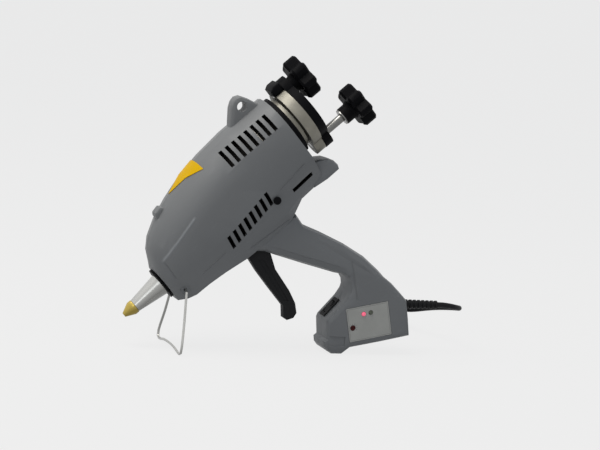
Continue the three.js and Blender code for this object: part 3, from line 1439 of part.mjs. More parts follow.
add(lead, 'plug', plug().rotateY(-plugClimb).rotateZ(tailTurn)
  .translate(plugAt.x, plugAt.y, plugAt.z), 'rubber');

// The origin is the middle of the footprint of everything but the lead
const footprint = new THREE.Box3().setFromObject(gun, true)
  .union(new THREE.Box3().setFromObject(stood, true));
applicator.position.x = -(footprint.min.x + footprint.max.x) / 2;
console.log(`shift along x ${applicator.position.x.toFixed(3)} mm, lowest ${footprint.min.z.toFixed(3)} mm`);
applicator.updateMatrixWorld(true);

export default applicator;
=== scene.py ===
# Looks of a hand-held hot glue applicator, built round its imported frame. Metres, +Z up.
import math
import json

import bmesh
import bpy
from mathutils import Matrix, Vector

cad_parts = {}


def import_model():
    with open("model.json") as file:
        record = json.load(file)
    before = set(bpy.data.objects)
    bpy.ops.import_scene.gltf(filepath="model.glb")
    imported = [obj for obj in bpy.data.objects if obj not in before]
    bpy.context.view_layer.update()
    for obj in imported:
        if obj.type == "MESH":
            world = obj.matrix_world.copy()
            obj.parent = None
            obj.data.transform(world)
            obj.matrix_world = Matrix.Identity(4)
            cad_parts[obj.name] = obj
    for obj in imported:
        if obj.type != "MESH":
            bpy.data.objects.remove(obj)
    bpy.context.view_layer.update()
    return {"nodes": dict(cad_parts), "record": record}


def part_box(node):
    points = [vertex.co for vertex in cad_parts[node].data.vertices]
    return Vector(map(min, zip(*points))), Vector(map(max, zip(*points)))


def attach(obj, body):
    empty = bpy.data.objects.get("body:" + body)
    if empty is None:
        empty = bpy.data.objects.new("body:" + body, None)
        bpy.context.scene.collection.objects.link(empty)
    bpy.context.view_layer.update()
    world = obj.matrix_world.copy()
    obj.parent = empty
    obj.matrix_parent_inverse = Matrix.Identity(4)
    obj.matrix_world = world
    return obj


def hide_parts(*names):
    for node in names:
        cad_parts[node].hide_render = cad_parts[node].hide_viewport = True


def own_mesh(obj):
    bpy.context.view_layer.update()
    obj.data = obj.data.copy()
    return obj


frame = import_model()

# The nozzle axis starts at the tip and climbs by this much
MM = 0.001
TILT = math.radians(43)
TIP_HEIGHT = 34.2 * MM
ALONG = Vector((math.cos(TILT), 0, math.sin(TILT)))
RISE = Vector((-math.sin(TILT), 0, math.cos(TILT)))
ACROSS = Vector((0, 1, 0))


def tip_point():
    """The foot of the nozzle axis: the middle of the brass tip's front face."""
    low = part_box("nozzle_tip")[0]
    mouth = 2.6 * MM
    return Vector((low.x + mouth * math.sin(TILT), 0, TIP_HEIGHT))


TIP = tip_point()


def on_gun(along, across, rise):
    """A point given in millimetres along, across and above the nozzle axis."""
    return TIP + (ALONG * along + ACROSS * across + RISE * rise) * MM


# Camera: the photograph's long lens, from the left of the side and a little above
FRAME_WIDTH = 600
FOCAL_PIXELS = 2272.7
SENSOR_WIDTH = 36
CAMERA_TARGET = Vector((11.24, 0, 139.87)) * MM
CAMERA_DISTANCE = 2.5
CAMERA_AZIMUTH = math.radians(19)
CAMERA_ELEVATION = math.radians(8)
CAMERA_ROLL = math.radians(5)


def camera():
    forward = Vector((
        math.sin(CAMERA_AZIMUTH) * math.cos(CAMERA_ELEVATION),
        math.cos(CAMERA_AZIMUTH) * math.cos(CAMERA_ELEVATION),
        -math.sin(CAMERA_ELEVATION),
    ))
    level = Vector((math.cos(CAMERA_AZIMUTH), -math.sin(CAMERA_AZIMUTH), 0))
    upright = level.cross(forward)
    right = level * math.cos(CAMERA_ROLL) + upright * math.sin(CAMERA_ROLL)
    up = upright * math.cos(CAMERA_ROLL) - level * math.sin(CAMERA_ROLL)
    turn = Matrix((right, up, -forward)).transposed()
    data = bpy.data.cameras.new("camera")
    data.sensor_width = SENSOR_WIDTH
    data.lens = SENSOR_WIDTH * FOCAL_PIXELS / FRAME_WIDTH
    data.clip_start = 0.01
    data.clip_end = 100
    seen_from = bpy.data.objects.new("camera", data)
    bpy.context.scene.collection.objects.link(seen_from)
    seen_from.matrix_world = Matrix.Translation(CAMERA_TARGET - forward * CAMERA_DISTANCE) @ turn.to_4x4()
    bpy.context.scene.camera = seen_from


camera()

# The lead: route and coil as in the part's source, in millimetres from the relief's end
LEAD_DIAMETER = 6
LEAD_RADIUS = LEAD_DIAMETER / 2
FIT_GAP = 0.3
RELIEF_HEIGHT = 55
COIL_GAP = 0.45
COIL_PITCH = LEAD_DIAMETER + COIL_GAP
COIL_RADIUS = 38
COIL_LAYERS = 4
COIL_TURNS = 8
COIL_STEPS = 24
COIL_CENTRE = (-20.6, 155)
FLOOR_DROP = -RELIEF_HEIGHT + LEAD_RADIUS + FIT_GAP / 3
COIL_TOP = FLOOR_DROP + (COIL_LAYERS - 1) * COIL_PITCH
LEAD_ROUTE = [
    (FIT_GAP, 0, 0), (9, 0, -0.2), (17.6, 1.3, -1.4), (25.5, 5.2, -3.2), (31.8, 11, -5),
    (36.3, 18.8, -6.7), (38.7, 28, -8.4), (39.5, 38, -10.1), (39.2, 50, -12.2), (37.9, 62, -14.4),
    (35.5, 75, -17), (32.1, 88, -20), (28.1, 101, -23.4), (24, 114, -27), (20.6, 127, -30.1),
    (18.2, 139, -32),
]
RELIEF_END = Vector((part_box("strain_relief")[1].x, 0, RELIEF_HEIGHT * MM))


def smoothstep(value, start, end):
    share = min(1, max(0, (value - start) / (end - start)))
    return share * share * (3 - 2 * share)


def spline_through(points, steps):
    """A smooth line through the points, the ends carried straight on."""
    places = [Vector(p) for p in points]
    places = [2 * places[0] - places[1], *places, 2 * places[-1] - places[-2]]
    line = []
    for a, b, c, d in zip(places, places[1:], places[2:], places[3:]):
        for k in range(steps):
            t = k / steps
            line.append(0.5 * (
                2 * b + (c - a) * t + (2 * a - 5 * b + 4 * c - d) * t ** 2 + (3 * b - a - 3 * c + d) * t ** 3
            ))
    return [*line, places[-2]]


def coil_line():
    turns_per_layer = COIL_TURNS / COIL_LAYERS
    line = []
    for i in range(COIL_TURNS * COIL_STEPS + 1):
        turns = i / COIL_STEPS
        layer = min(math.floor(turns / turns_per_layer), COIL_LAYERS - 1)
        in_layer = turns - layer * turns_per_layer
        drift = turns_per_layer - in_layer if layer % 2 else in_layer
        dropped = sum(
            smoothstep(turns, k * turns_per_layer - 0.25, k * turns_per_layer + 0.25)
            for k in range(1, COIL_LAYERS)
        )
        radius = COIL_RADIUS - drift * COIL_PITCH
        angle = turns * 2 * math.pi
        line.append(Vector((
            COIL_CENTRE[0] + radius * math.cos(angle),
            COIL_CENTRE[1] + radius * math.sin(angle),
            COIL_TOP - dropped * COIL_PITCH,
        )))
    straight = 1.4 * LEAD_DIAMETER
    tail = [line[-1] + Vector((0, straight * k, 0)) for k in (1, 2, 3)]
    return [*line, *tail]


def cord_curve(name, line, radius):
    """A round cord along a line of points in metres; its bounds follow the points' own radius."""
    data = bpy.data.curves.new(name, "CURVE")
    data.dimensions = "3D"
    data.bevel_depth = 1
    data.bevel_resolution = 5
    data.use_fill_caps = True
    spline = data.splines.new("POLY")
    spline.points.add(len(line) - 1)
    for point, place in zip(spline.points, line):
        point.co = (*place, 1)
        point.radius = radius
    spline.use_smooth = True
    piece = bpy.data.objects.new(name, data)
    bpy.context.scene.collection.objects.link(piece)
    return piece


def line_length(line):
    return sum((b - a).length for a, b in zip(line, line[1:]))


def lead():
    coil = coil_line()
    entry = coil[0] - Vector((0, LEAD_DIAMETER, 0))
    route = spline_through([*LEAD_ROUTE, entry], 4)
    line = [RELIEF_END + p * MM for p in [*route, *spline_through(coil, 2)]]
    piece = cord_curve("lead", line, LEAD_RADIUS * MM)
    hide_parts("lead_free", "lead_coil")
    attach(piece, "gun")
    return piece, line


lead_piece, lead_line = lead()


# Shader maths as Python expressions
class Wire:
    """A socket that gives a value; operators on it add Math nodes."""

    def __init__(self, finish, socket):
        self.finish = finish
        self.socket = socket

    def maths(self, operation, *values):
        return self.finish.add("Math", {"operation": operation}, *values)

    def __add__(self, other):
        return self.maths("ADD", self, other)

    def __radd__(self, other):
        return self.maths("ADD", other, self)

    def __sub__(self, other):
        return self.maths("SUBTRACT", self, other)

    def __rsub__(self, other):
        return self.maths("SUBTRACT", other, self)

    def __mul__(self, other):
        return self.maths("MULTIPLY", self, other)

    def __truediv__(self, other):
        return self.maths("DIVIDE", self, other)

    def __pow__(self, other):
        return self.maths("POWER", self, other)

    def __lt__(self, other):
        return self.maths("LESS_THAN", self, other)

    def __gt__(self, other):
        return self.maths("GREATER_THAN", self, other)


class Finish:
    """A material under construction: one shader and the nodes that feed it."""

    def __init__(self, name, **constants):
        self.material = bpy.data.materials.new(name)
        self.material.use_nodes = True
        self.tree = self.material.node_tree
        self.shader = self.tree.nodes["Principled BSDF"]
        self.place = self.add("TexCoord", {}, output="Object")
        for socket, value in constants.items():
            self.shader.inputs[socket.replace("_", " ")].default_value = value

    def add(self, kind, settings, *values, output=0, **named):
        """Adds a node: its settings first, then the values or links of its sockets."""
        node = self.tree.nodes.new("ShaderNode" + kind)
        for name, value in settings.items():
            if name == "stops":
                self.colour_stops(node.color_ramp, value)
            else:
                setattr(node, name, value)
        slots = [*zip(range(len(values)), values), *named.items()]
        for key, value in slots:
            key = key.replace("_", " ") if isinstance(key, str) else key
            if isinstance(value, Wire):
                self.tree.links.new(value.socket, node.inputs[key])
            elif value is not None:
                node.inputs[key].default_value = value
        return Wire(self, node.outputs[output])

    def colour_stops(self, ramp, stops):
        while len(ramp.elements) < len(stops):
            ramp.elements.new(1)
        for element, (place, value) in zip(ramp.elements, stops):
            element.position = place
            element.color = (value, value, value, 1) if isinstance(value, float) else (*value, 1)

    def noise(self, scale, detail=3.0, roughness=0.5, place=None, distortion=0.0):
        return self.add(
            "TexNoise", {}, Vector=place or self.place, Scale=scale, Detail=detail,
            Roughness=roughness, Distortion=distortion,
        )

    def turned(self, angle=0, scale=(1, 1, 1), centre=(0, 0, 0)):
        """Places counted from a centre, turned about Y and stretched."""
        centred = self.add("VectorMath", {"operation": "SUBTRACT"}, self.place, tuple(centre))
        turned = self.add("Mapping", {"vector_type": "POINT"}, Vector=centred, Rotation=(0, angle, 0))
        return self.add("Mapping", {"vector_type": "POINT"}, Vector=turned, Scale=scale)

    def parts_of(self, place):
        node = self.add("SeparateXYZ", {}, place).socket.node
        return [Wire(self, socket) for socket in node.outputs]

    def mix(self, share, first, second):
        node = self.tree.nodes.new("ShaderNodeMix")
        node.data_type = "RGBA"
        for key, value in ((0, share), (6, first), (7, second)):
            if isinstance(value, Wire):
                self.tree.links.new(value.socket, node.inputs[key])
            else:
                node.inputs[key].default_value = value if key == 0 else (*value[:3], 1)
        return Wire(self, node.outputs[2])

    def ramp(self, value, low, high, start=0.0, end=1.0):
        """The value's stretch from low to high, brought to start and end."""
        return self.add(
            "MapRange", {"clamp": True}, value, low, high, start, end)

    def feed(self, **links):
        for socket, wire in links.items():
            self.tree.links.new(wire.socket, self.shader.inputs[socket.replace("_", " ")])

    def rounded(self, radius):
        """The surface direction with edges rounded by a radius."""
        return self.add("Bevel", {"samples": 4}, Radius=radius)

    def edge_wear(self, rounded):
        """1 along edges, 0 on flats, from how far the rounded direction leans."""
        flat = self.add("NewGeometry", {}, output="Normal")
        lean = self.add("VectorMath", {"operation": "DOT_PRODUCT"}, rounded, flat, output="Value")
        return self.ramp(lean, 0.995, 0.9)

    def bump(self, height, strength, distance, normal=None):
        return self.add(
            "Bump", {}, Height=height, Strength=strength, Distance=distance, Normal=normal)

    def one(self, operation, value):
        return self.add("Math", {"operation": operation}, value)

    def most(self, *values):
        """The largest of several values."""
        best = values[0]
        for value in values[1:]:
            best = self.add("Math", {"operation": "MAXIMUM"}, best, value)
        return best

    def line_between(self, across, up, start, end, width):
        """1 on a line from start to end, 0 beside it."""
        run = Vector(end) - Vector(start)
        length = run.length
        run.normalize()
        x = across - start[0]
        z = up - start[1]
        along = x * run[0] + z * run[1]
        beside = x * run[1] - z * run[0]
        ends = self.ramp(along, -width, width) * self.ramp(along, length + width, length - width)
        return ends * self.ramp(self.one("ABSOLUTE", beside), width, 0)


def shade(colour, factor):
    return tuple(channel * factor for channel in colour[:3])


def moulded(name, colour, roughness, shine=0.12, grain=0.00002, wear=0.35, lower_tone=None):
    """Moulded plastic: a fine grain, uneven colour, edges rubbed lighter, and an optional lighter tone below
    a given height.
    """
    finish = Finish(name, Specular_IOR_Level=shine)
    cloud = finish.noise(14, 4)
    streak = finish.noise(60, 3, place=finish.turned(TILT, (0.3, 1, 1)))
    fine = finish.noise(1700, 2)
    rounded = finish.rounded(0.0006)
    rubbed = finish.edge_wear(rounded) * finish.ramp(finish.noise(120, 3), 0.4, 0.62)
    base = finish.mix(finish.ramp(cloud, 0.3, 0.7), shade(colour, 0.94), shade(colour, 1.06))
    if lower_tone:
        rise = finish.parts_of(finish.turned(TILT, (1000, 1000, 1000), TIP))[2]
        # A lighter tone on parts below these heights.
        base = finish.mix(finish.ramp(rise, *LIGHTER_BELOW), base, lower_tone)
    base = finish.mix(rubbed * wear, base, tuple(min(1, c * 1.6 + 0.01) for c in colour[:3]))
    finish.feed(
        Base_Color=base,
        Roughness=roughness + (cloud - 0.5) * 0.12 + (streak - 0.5) * 0.1 - rubbed * 0.1,
        Normal=finish.bump(fine, 0.5, grain, normal=rounded),
    )
    return finish.material


# Places in millimetres along and above the nozzle axis that the housing's marks follow
BARREL_END = 262.5
VENT_PITCH = 8.7
VENT_COUNT = 8
VENT_HALF = 2.15
UPPER_VENT_MIDDLE = (BARREL_END - 74.2, 68.3)
UPPER_VENT_HALF_LENGTH = 9.35
LOWER_VENT_MIDDLE = (BARREL_END - 125.6, -5.8)
LOWER_VENT_HALF_LENGTH = 8.4
LOWER_ROW_TILT = math.radians(10.5)
LOWER_SLOT_TILT = math.radians(15)
HORN_VENT = ((BARREL_END - 37.9, -10.9), (BARREL_END - 9.2, -5.9))
MOULD_LINES = [
    ((250.5, 9.7), (212, 5.1)), ((204, -34), (150, -28.8)), ((126, -11.4), (91.1, -14.1)),
    ((67, 23), (66.2, 1.6)),
]
NOSE_EDGE = ((66.9, 25.8), (121.2, 42.3))
BASE_LINES = [((248.5, 103.9), (258.4, 61.5)), ((247.6, 88.2), (241.6, 76.8))]
UPRIGHT_SHIFT = -179.969
# Hardware beyond this place is dull; black plastic turns to a lighter tone between these two heights, going
# down
TANK_HARDWARE = 262
LIGHTER_BELOW = (-14, -26)


def within(finish, value, low, high):
    """1 where the value lies between low and high, else 0."""
    return (value > low) * (value < high)


def vent_mask(finish, along, rise):
    """1 in the column of any vent slot, which covers its walls and what lies straight behind."""
    last = (VENT_COUNT - 1) * VENT_PITCH + VENT_HALF
    a = along - UPPER_VENT_MIDDLE[0]
    b = rise - UPPER_VENT_MIDDLE[1]
    slot = finish.add("Math", {"operation": "PINGPONG"}, a, VENT_PITCH / 2) < VENT_HALF
    high = finish.one("ABSOLUTE", b) < UPPER_VENT_HALF_LENGTH
    upper = slot * high * within(finish, a, -VENT_HALF, last)
    a = along - LOWER_VENT_MIDDLE[0]
    b = rise - LOWER_VENT_MIDDLE[1]
    row = a * math.cos(LOWER_ROW_TILT) + b * math.sin(LOWER_ROW_TILT)
    up = b * math.cos(LOWER_ROW_TILT) - a * math.sin(LOWER_ROW_TILT)
    pitch = VENT_PITCH * math.cos(LOWER_SLOT_TILT)
    across = row * math.cos(LOWER_SLOT_TILT) - up * math.sin(LOWER_SLOT_TILT)
    slot = finish.add("Math", {"operation": "PINGPONG"}, across, pitch / 2) < VENT_HALF
    long = finish.one("ABSOLUTE", up / math.cos(LOWER_SLOT_TILT)) < LOWER_VENT_HALF_LENGTH
    lower = slot * long * within(finish, across, -VENT_HALF, (VENT_COUNT - 1) * pitch + VENT_HALF)
    (left, bottom), (right, top) = HORN_VENT
    horn = within(finish, along, left, right) * within(finish, rise, bottom, top)
    return finish.most(upper, lower, horn)


def housing_finish():
    """Grey moulded shells: mould lines on the sides with painted shade in them, a painted highlight along
    the nose edge, a top painted lighter as if lit from above, painted shade on the inside and in the vents,
    rubbed edges.
    """
    colour = (0.132, 0.138, 0.145)
    finish = Finish("grey_housing_plastic", Specular_IOR_Level=0.42)
    along, y, rise = finish.parts_of(finish.turned(TILT, (1000, 1000, 1000), TIP))
    x, _, z = finish.parts_of(finish.turned(0, (1000, 1000, 1000), (UPRIGHT_SHIFT * MM, 0, 0)))
    cloud = finish.noise(14, 4)
    streak = finish.noise(60, 3, place=finish.turned(TILT, (0.3, 1, 1)))
    fine = finish.noise(1700, 2)
    rounded = finish.rounded(0.0007)
    rubbed = finish.edge_wear(rounded) * finish.ramp(finish.noise(120, 3), 0.42, 0.66)
    scuff = finish.ramp(finish.noise(300, 5, place=finish.turned(TILT, (0.25, 1, 1))), 0.6, 0.74)
    facing = finish.parts_of(finish.add("NewGeometry", {}, output="Normal"))[1]
    # Painted shade: inner faces of the shells and the columns behind the vent slots are coloured near-black,
    # where shade falls.
    inside = (facing * y < -2.0)
    painted_shade = finish.most(inside, vent_mask(finish, along, rise))
    side = finish.one("ABSOLUTE", facing) > 0.3
    shaded_grooves = finish.most(
        *(finish.line_between(along, rise, *ends, 1.3) for ends in MOULD_LINES),
        *(finish.line_between(x, z, *ends, 1.6) for ends in BASE_LINES),
    ) * side
    highlit_ridge = finish.line_between(along, rise, *NOSE_EDGE, 2.1) * side
    base = finish.mix(finish.ramp(cloud, 0.3, 0.7), shade(colour, 0.965), shade(colour, 1.035))
    # Painted light: the colour turns lighter and warmer towards the top, as if lit from above.
    base = finish.mix(finish.ramp(rise, -30, 75) * 0.3, base, (0.165, 0.165, 0.163))
    base = finish.mix(rubbed * 0.25, base, shade(colour, 1.7))
    base = finish.mix(scuff * 0.08, base, shade(colour, 1.9))
    # Painted shade: the mould lines and base lines are also coloured darker, as shade in a crease.
    base = finish.mix(shaded_grooves * 0.4, base, shade(colour, 0.55))
    # Painted highlight: a pale line along the nose edge, which the bump also raises.
    base = finish.mix(highlit_ridge * 0.55, base, shade(colour, 2.4))
    finish.feed(
        Base_Color=finish.mix(painted_shade, base, (0.006, 0.006, 0.0065)),
        Roughness=0.5 + (cloud - 0.5) * 0.12 + (streak - 0.5) * 0.1 - rubbed * 0.1 + painted_shade * 0.3,
        Normal=finish.bump(
            highlit_ridge - shaded_grooves, 0.9, 0.0006, normal=finish.bump(fine, 0.5, 0.00002, normal=rounded)),
    )
    return finish.material


# Machined metal: turning lines to a metre, their depth and the rounding of its edges, in metres
TURNING_LINES = 900
LINE_DEPTH = 0.000012
METAL_EDGE = 0.0004


def metal(name, colour, roughness):
    """Machined metal with fine turning lines across its axis, duller at the hot tank, with painted shade on
    faces that turn downwards.
    """
    finish = Finish(name, Metallic=1.0)
    along = finish.noise(1, 3, place=finish.turned(TILT, (TURNING_LINES, 12, 12)))
    cloud = finish.noise(40, 4)
    rounded = finish.rounded(METAL_EDGE)
    worn = finish.edge_wear(rounded)
    tarnish = finish.ramp(cloud, 0.35, 0.75)
    base = finish.mix(tarnish * 0.5, colour, shade(colour, 0.72))
    base = finish.mix(worn * 0.5, base, tuple(min(1, c * 1.15) for c in colour[:3]))
    place = finish.parts_of(finish.turned(TILT, (1000, 1000, 1000), TIP))[0]
    facing = finish.parts_of(finish.add("NewGeometry", {}, output="Normal"))[2]
    # Painted shade: faces that turn downwards are coloured darker, as if in shadow.
    base = finish.mix(finish.ramp(facing, 0.55, -0.3) * 0.85, base, shade(colour, 0.28))
    base = finish.mix((place > TANK_HARDWARE) * 0.85, base, shade(colour, 0.22))
    finish.feed(
        Base_Color=base,
        Roughness=roughness + (along - 0.5) * 0.1 + tarnish * 0.08,
        Normal=finish.bump(along, 0.35, LINE_DEPTH, normal=rounded),
    )
    return finish.material


def cast_metal():
    """Bare cast aluminium of the tank, neck and flange; the end inside the barrel is painted near-black as
    shade.
    """
    colour = (0.235, 0.224, 0.19)
    finish = Finish("cast_aluminium", Metallic=0.6)
    along = finish.parts_of(finish.turned(TILT, (1000, 1000, 1000), TIP))[0]
    grit = finish.noise(900, 4, 0.6)
    cloud = finish.noise(45, 5, 0.6, distortion=0.4)
    rounded = finish.rounded(0.0006)
    worn = finish.edge_wear(rounded)
    # Painted shade: the tank's end inside the barrel is coloured near-black, where shade falls behind the
    # vents.
    barrel_end_shade = finish.ramp(along + (cloud - 0.5) * 4, BARREL_END + 1, BARREL_END - 3)
    base = finish.mix(finish.ramp(cloud, 0.35, 0.7), shade(colour, 0.8), shade(colour, 1.12))
    base = finish.mix(worn * 0.4, base, (0.45, 0.43, 0.38))
    base = finish.mix(barrel_end_shade, base, finish.mix(cloud, (0.008, 0.007, 0.006), (0.02, 0.017, 0.014)))
    finish.feed(
        Base_Color=base,
        Roughness=0.48 + (cloud - 0.5) * 0.25 + (grit - 0.5) * 0.1 + barrel_end_shade * 0.25,
        Normal=finish.bump(grit, 0.6, 0.00006, normal=rounded),
    )
    return finish.material


def rubber_finish():
    """Black rubber and flexible plastic of the lead, its relief and its plug."""
    colour = (0.008, 0.008, 0.009)
    finish = Finish("black_rubber", Specular_IOR_Level=0.14)
    cloud = finish.noise(30, 4)
    fine = finish.noise(1400, 3)
    dust = finish.ramp(finish.noise(220, 4), 0.52, 0.75)
    base = finish.mix(dust * 0.35, shade(colour, 0.9), shade(colour, 2))
    finish.feed(
        Base_Color=base,
        Roughness=0.55 + (cloud - 0.5) * 0.2 + dust * 0.1,
        Normal=finish.bump(fine, 0.4, 0.00003, normal=finish.rounded(0.0004)),
    )
    return finish.material


def film(name, colour, roughness, dial=False, shine=0.35, coat=0.1):
    """Plastic film stuck on the housing, with a slight orange-peel gloss."""
    finish = Finish(name, Specular_IOR_Level=shine, Coat_Weight=coat, Coat_Roughness=0.25)
    cloud = finish.noise(60, 4)
    peel = finish.noise(500, 2)
    rounded = finish.rounded(0.0003)
    base = finish.mix(finish.ramp(cloud, 0.3, 0.7), shade(colour, 0.94), shade(colour, 1.04))
    if dial:
        base = finish.mix(dial_marks(finish), base, (0.03, 0.03, 0.032))
    finish.feed(
        Base_Color=base,
        Roughness=roughness + (cloud - 0.5) * 0.15,
        Normal=finish.bump(peel, 0.25, 0.00004, normal=rounded),
    )
    return finish.material


# The rating panel's middle and turn, and the temperature dial's middle on it, in millimetres
PANEL_MIDDLE = ((274.05 + UPRIGHT_SHIFT) * MM, 0, 37.65 * MM)
PANEL_TURN = math.radians(12.3)
PANEL_HALF = (24.8, 19)
DIAL_MIDDLE = (-19.34, -3.42)
DIAL_RADII = (4.1, 5.1)
TICK_STEP = math.radians(30)


def dial_marks(finish):
    """Plain ticks round the temperature trimmer and a thin line round the panel's edge."""
    x, _, z = finish.parts_of(finish.turned(PANEL_TURN, (1000, 1000, 1000), PANEL_MIDDLE))
    dx = x - DIAL_MIDDLE[0]
    dz = z - DIAL_MIDDLE[1]
    radius = (dx * dx + dz * dz) ** 0.5
    angle = finish.add("Math", {"operation": "ARCTAN2"}, dx, dz)
    tick = finish.add("Math", {"operation": "PINGPONG"}, angle, TICK_STEP / 2) < math.radians(2.5)
    swept = finish.one("ABSOLUTE", angle) < math.radians(135)
    ticks = tick * swept * within(finish, radius, *DIAL_RADII)
    edge = finish.most(
        finish.one("ABSOLUTE", x) - PANEL_HALF[0], finish.one("ABSOLUTE", z) - PANEL_HALF[1])
    return finish.most(ticks, within(finish, edge, -1.5, -1.15) * 0.6)


def lens(name, colour, glow):
    """A small lamp's clear coloured lens, lit from behind where it glows."""
    finish = Finish(name, Roughness=0.12, Coat_Weight=0.6, Coat_Roughness=0.05)
    finish.shader.inputs["Emission Strength"].default_value = glow
    facet = finish.add("TexVoronoi", {}, Vector=finish.place, Scale=1600.0)
    base = finish.mix(finish.ramp(facet, 0.1, 0.7), shade(colour, 0.75), shade(colour, 1.15))
    finish.feed(Base_Color=base, Emission_Color=base, Normal=finish.bump(facet, 0.3, 0.0001))
    return finish.material


def silicone_finish():
    colour = (0.33, 0.095, 0.055)
    finish = Finish("red_silicone", Specular_IOR_Level=0.35)
    cloud = finish.noise(90, 4)
    base = finish.mix(finish.ramp(cloud, 0.3, 0.7), shade(colour, 0.8), shade(colour, 1.15))
    finish.feed(
        Base_Color=base,
        Roughness=0.6 + (cloud - 0.5) * 0.2,
        Normal=finish.bump(finish.noise(1200), 0.3, 0.00003, normal=finish.rounded(0.0003)),
    )
    return finish.material


def ceramic_finish():
    colour = (0.66, 0.62, 0.54)
    finish = Finish("fired_ceramic")
    speck = finish.noise(700, 5, 0.7)
    base = finish.mix(finish.ramp(speck, 0.4, 0.7), shade(colour, 1.08), shade(colour, 0.82))
    finish.feed(
        Base_Color=base,
        Roughness=0.75 + (speck - 0.5) * 0.2,
        Normal=finish.bump(speck, 0.4, 0.00005, normal=finish.rounded(0.0004)),
    )
    return finish.material


def board_finish():
    """Lacquered circuit board with paler printed tracks under the lacquer."""
    finish = Finish("circuit_board", Coat_Weight=0.4, Coat_Roughness=0.15)
    x, y, z = finish.parts_of(finish.place)
    bands = finish.add("Math", {"operation": "PINGPONG"}, x * 1.0, 0.0025)
    rows = finish.add("Math", {"operation": "PINGPONG"}, z * 1.0, 0.004)
    track = (bands < 0.0006) * (finish.noise(140, 1) > 0.5)
    cross = (rows < 0.0007) * (finish.noise(90, 1) > 0.52)
    copper = finish.add("Math", {"operation": "MAXIMUM"}, track, cross)
    base = finish.mix(copper, (0.02, 0.085, 0.035), (0.05, 0.2, 0.075))
    finish.feed(
        Base_Color=base,
        Roughness=0.4 - copper * 0.08,
        Normal=finish.bump(copper, 0.3, 0.00003),
    )
    return finish.material


looks = {
    "housing": housing_finish(),
    "black_plastic": moulded(
        "black_plastic", (0.0042, 0.0042, 0.005), 0.5, shine=0.035, grain=0.00003, wear=0.14,
        lower_tone=(0.022, 0.022, 0.023)),
    "aluminium": cast_metal(),
    "steel": metal("machined_steel", (0.6, 0.6, 0.58), 0.24),
    "brass": metal("turned_brass", (0.66, 0.5, 0.13), 0.3),
    "silicone": silicone_finish(),
    "ceramic": ceramic_finish(),
    "panel": film("panel_film", (0.33, 0.332, 0.318), 0.5, dial=True),
    "red_lamp": lens("red_lens", (0.8, 0.1, 0.19), 0.5),
    "green_lamp": lens("green_lens", (0.018, 0.032, 0.007), 0.0),
    "dark_red": moulded("dark_red_plastic", (0.055, 0.009, 0.009), 0.4),
    "yellow": film("yellow_film", (0.62, 0.37, 0.006), 0.45, shine=0.03, coat=0.0),
    "board": board_finish(),
    "rubber": rubber_finish(),
}


# CAD solids are faceted: their corners are joined and all but true edges shade smooth
SMOOTH_LIMIT = math.radians(38)


def smooth_facets(node, limit=SMOOTH_LIMIT):
    data = node.data
    if "custom_normal" in data.attributes:
        data.attributes.remove(data.attributes["custom_normal"])
    data.polygons.foreach_set("use_smooth", [True] * len(data.polygons))
    weld = node.modifiers.new("weld", "WELD")
    weld.merge_threshold = 0.000005
    split = node.modifiers.new("edges", "EDGE_SPLIT")
    split.use_edge_angle = True
    split.split_angle = limit
    normals = node.modifiers.new("normals", "WEIGHTED_NORMAL")
    normals.keep_sharp = True


def dress_nodes():
    slots = {row["node"]: row["material_slot"] for row in frame["record"]["subparts"]}
    for name, node in frame["nodes"].items():
        node.data.materials.clear()
        node.data.materials.append(looks[slots[name]])
        smooth_facets(node)


dress_nodes()
lead_piece.data.materials.append(looks["rubber"])


def mesh_piece(name, mesh, slot, body):
    piece = bpy.data.objects.new(name, mesh)
    bpy.context.scene.collection.objects.link(piece)
    mesh.materials.clear()
    mesh.materials.append(looks[slot])
    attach(piece, body)
    return piece


# Springs, wound as unbroken wire, their end turns lying flat
def coiled_spring(name, node, start, end, radius, wire, turns):
    steps = 24
    count = turns * steps
    span = end - start - 2 * wire
    line = []
    for i in range(count + 1):
        angle = i / steps * 2 * math.pi
        share = min(1, max(0, (i - steps / 2) / (count - steps)))
        along = start + wire + span * share
        line.append(on_gun(along, radius * math.cos(angle), radius * math.sin(angle)))
    curve = cord_curve(name, line, wire * MM)
    mesh = bpy.data.meshes.new_from_object(curve.evaluated_get(bpy.context.evaluated_depsgraph_get()))
    bpy.data.objects.remove(curve)
    piece = mesh_piece(name, mesh, "steel", "gun")
    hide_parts(node)
    on_gun(start, 0, 0)
    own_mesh(piece)


coiled_spring(
    "return_spring_wire", "return_spring", start=135.6, end=157.6, radius=7.6, wire=0.75, turns=5,
)
coiled_spring(
    "outlet_spring_wire", "outlet_spring", start=42.7, end=58.65, radius=3, wire=0.4, turns=5,
)


# The plug: a moulded body with grip ribs and a ribbed neck, and two round pins
PLUG_CLIMB = math.asin((12.5 - LEAD_RADIUS) / 50)
PLUG_BODY = [
    (0, 0), (0, 3), (0.4, 3.4), (2, 3.5), (2.4, 3), (3.6, 3), (4, 3.9), (5.6, 4), (6, 3.4), (7.2, 3.4),
    (7.6, 4.4), (9.2, 4.5), (9.6, 3.9), (10.8, 3.9), (11.2, 5), (13, 5.2), (16, 5.6), (18, 6.5), (22, 7.3),
    (28, 8.5), (34, 9.9), (40, 11), (44, 11.6), (48, 12.1), (49.3, 12), (50, 11.2), (50, 0),
]
PLUG_PIN = [(48, 0), (48, 2.4), (67.6, 2.4), (68.5, 2.1), (69, 1.4), (69, 0)]
PLUG_PIN_SPREAD = 9.5
GRIP_RIBS = 24


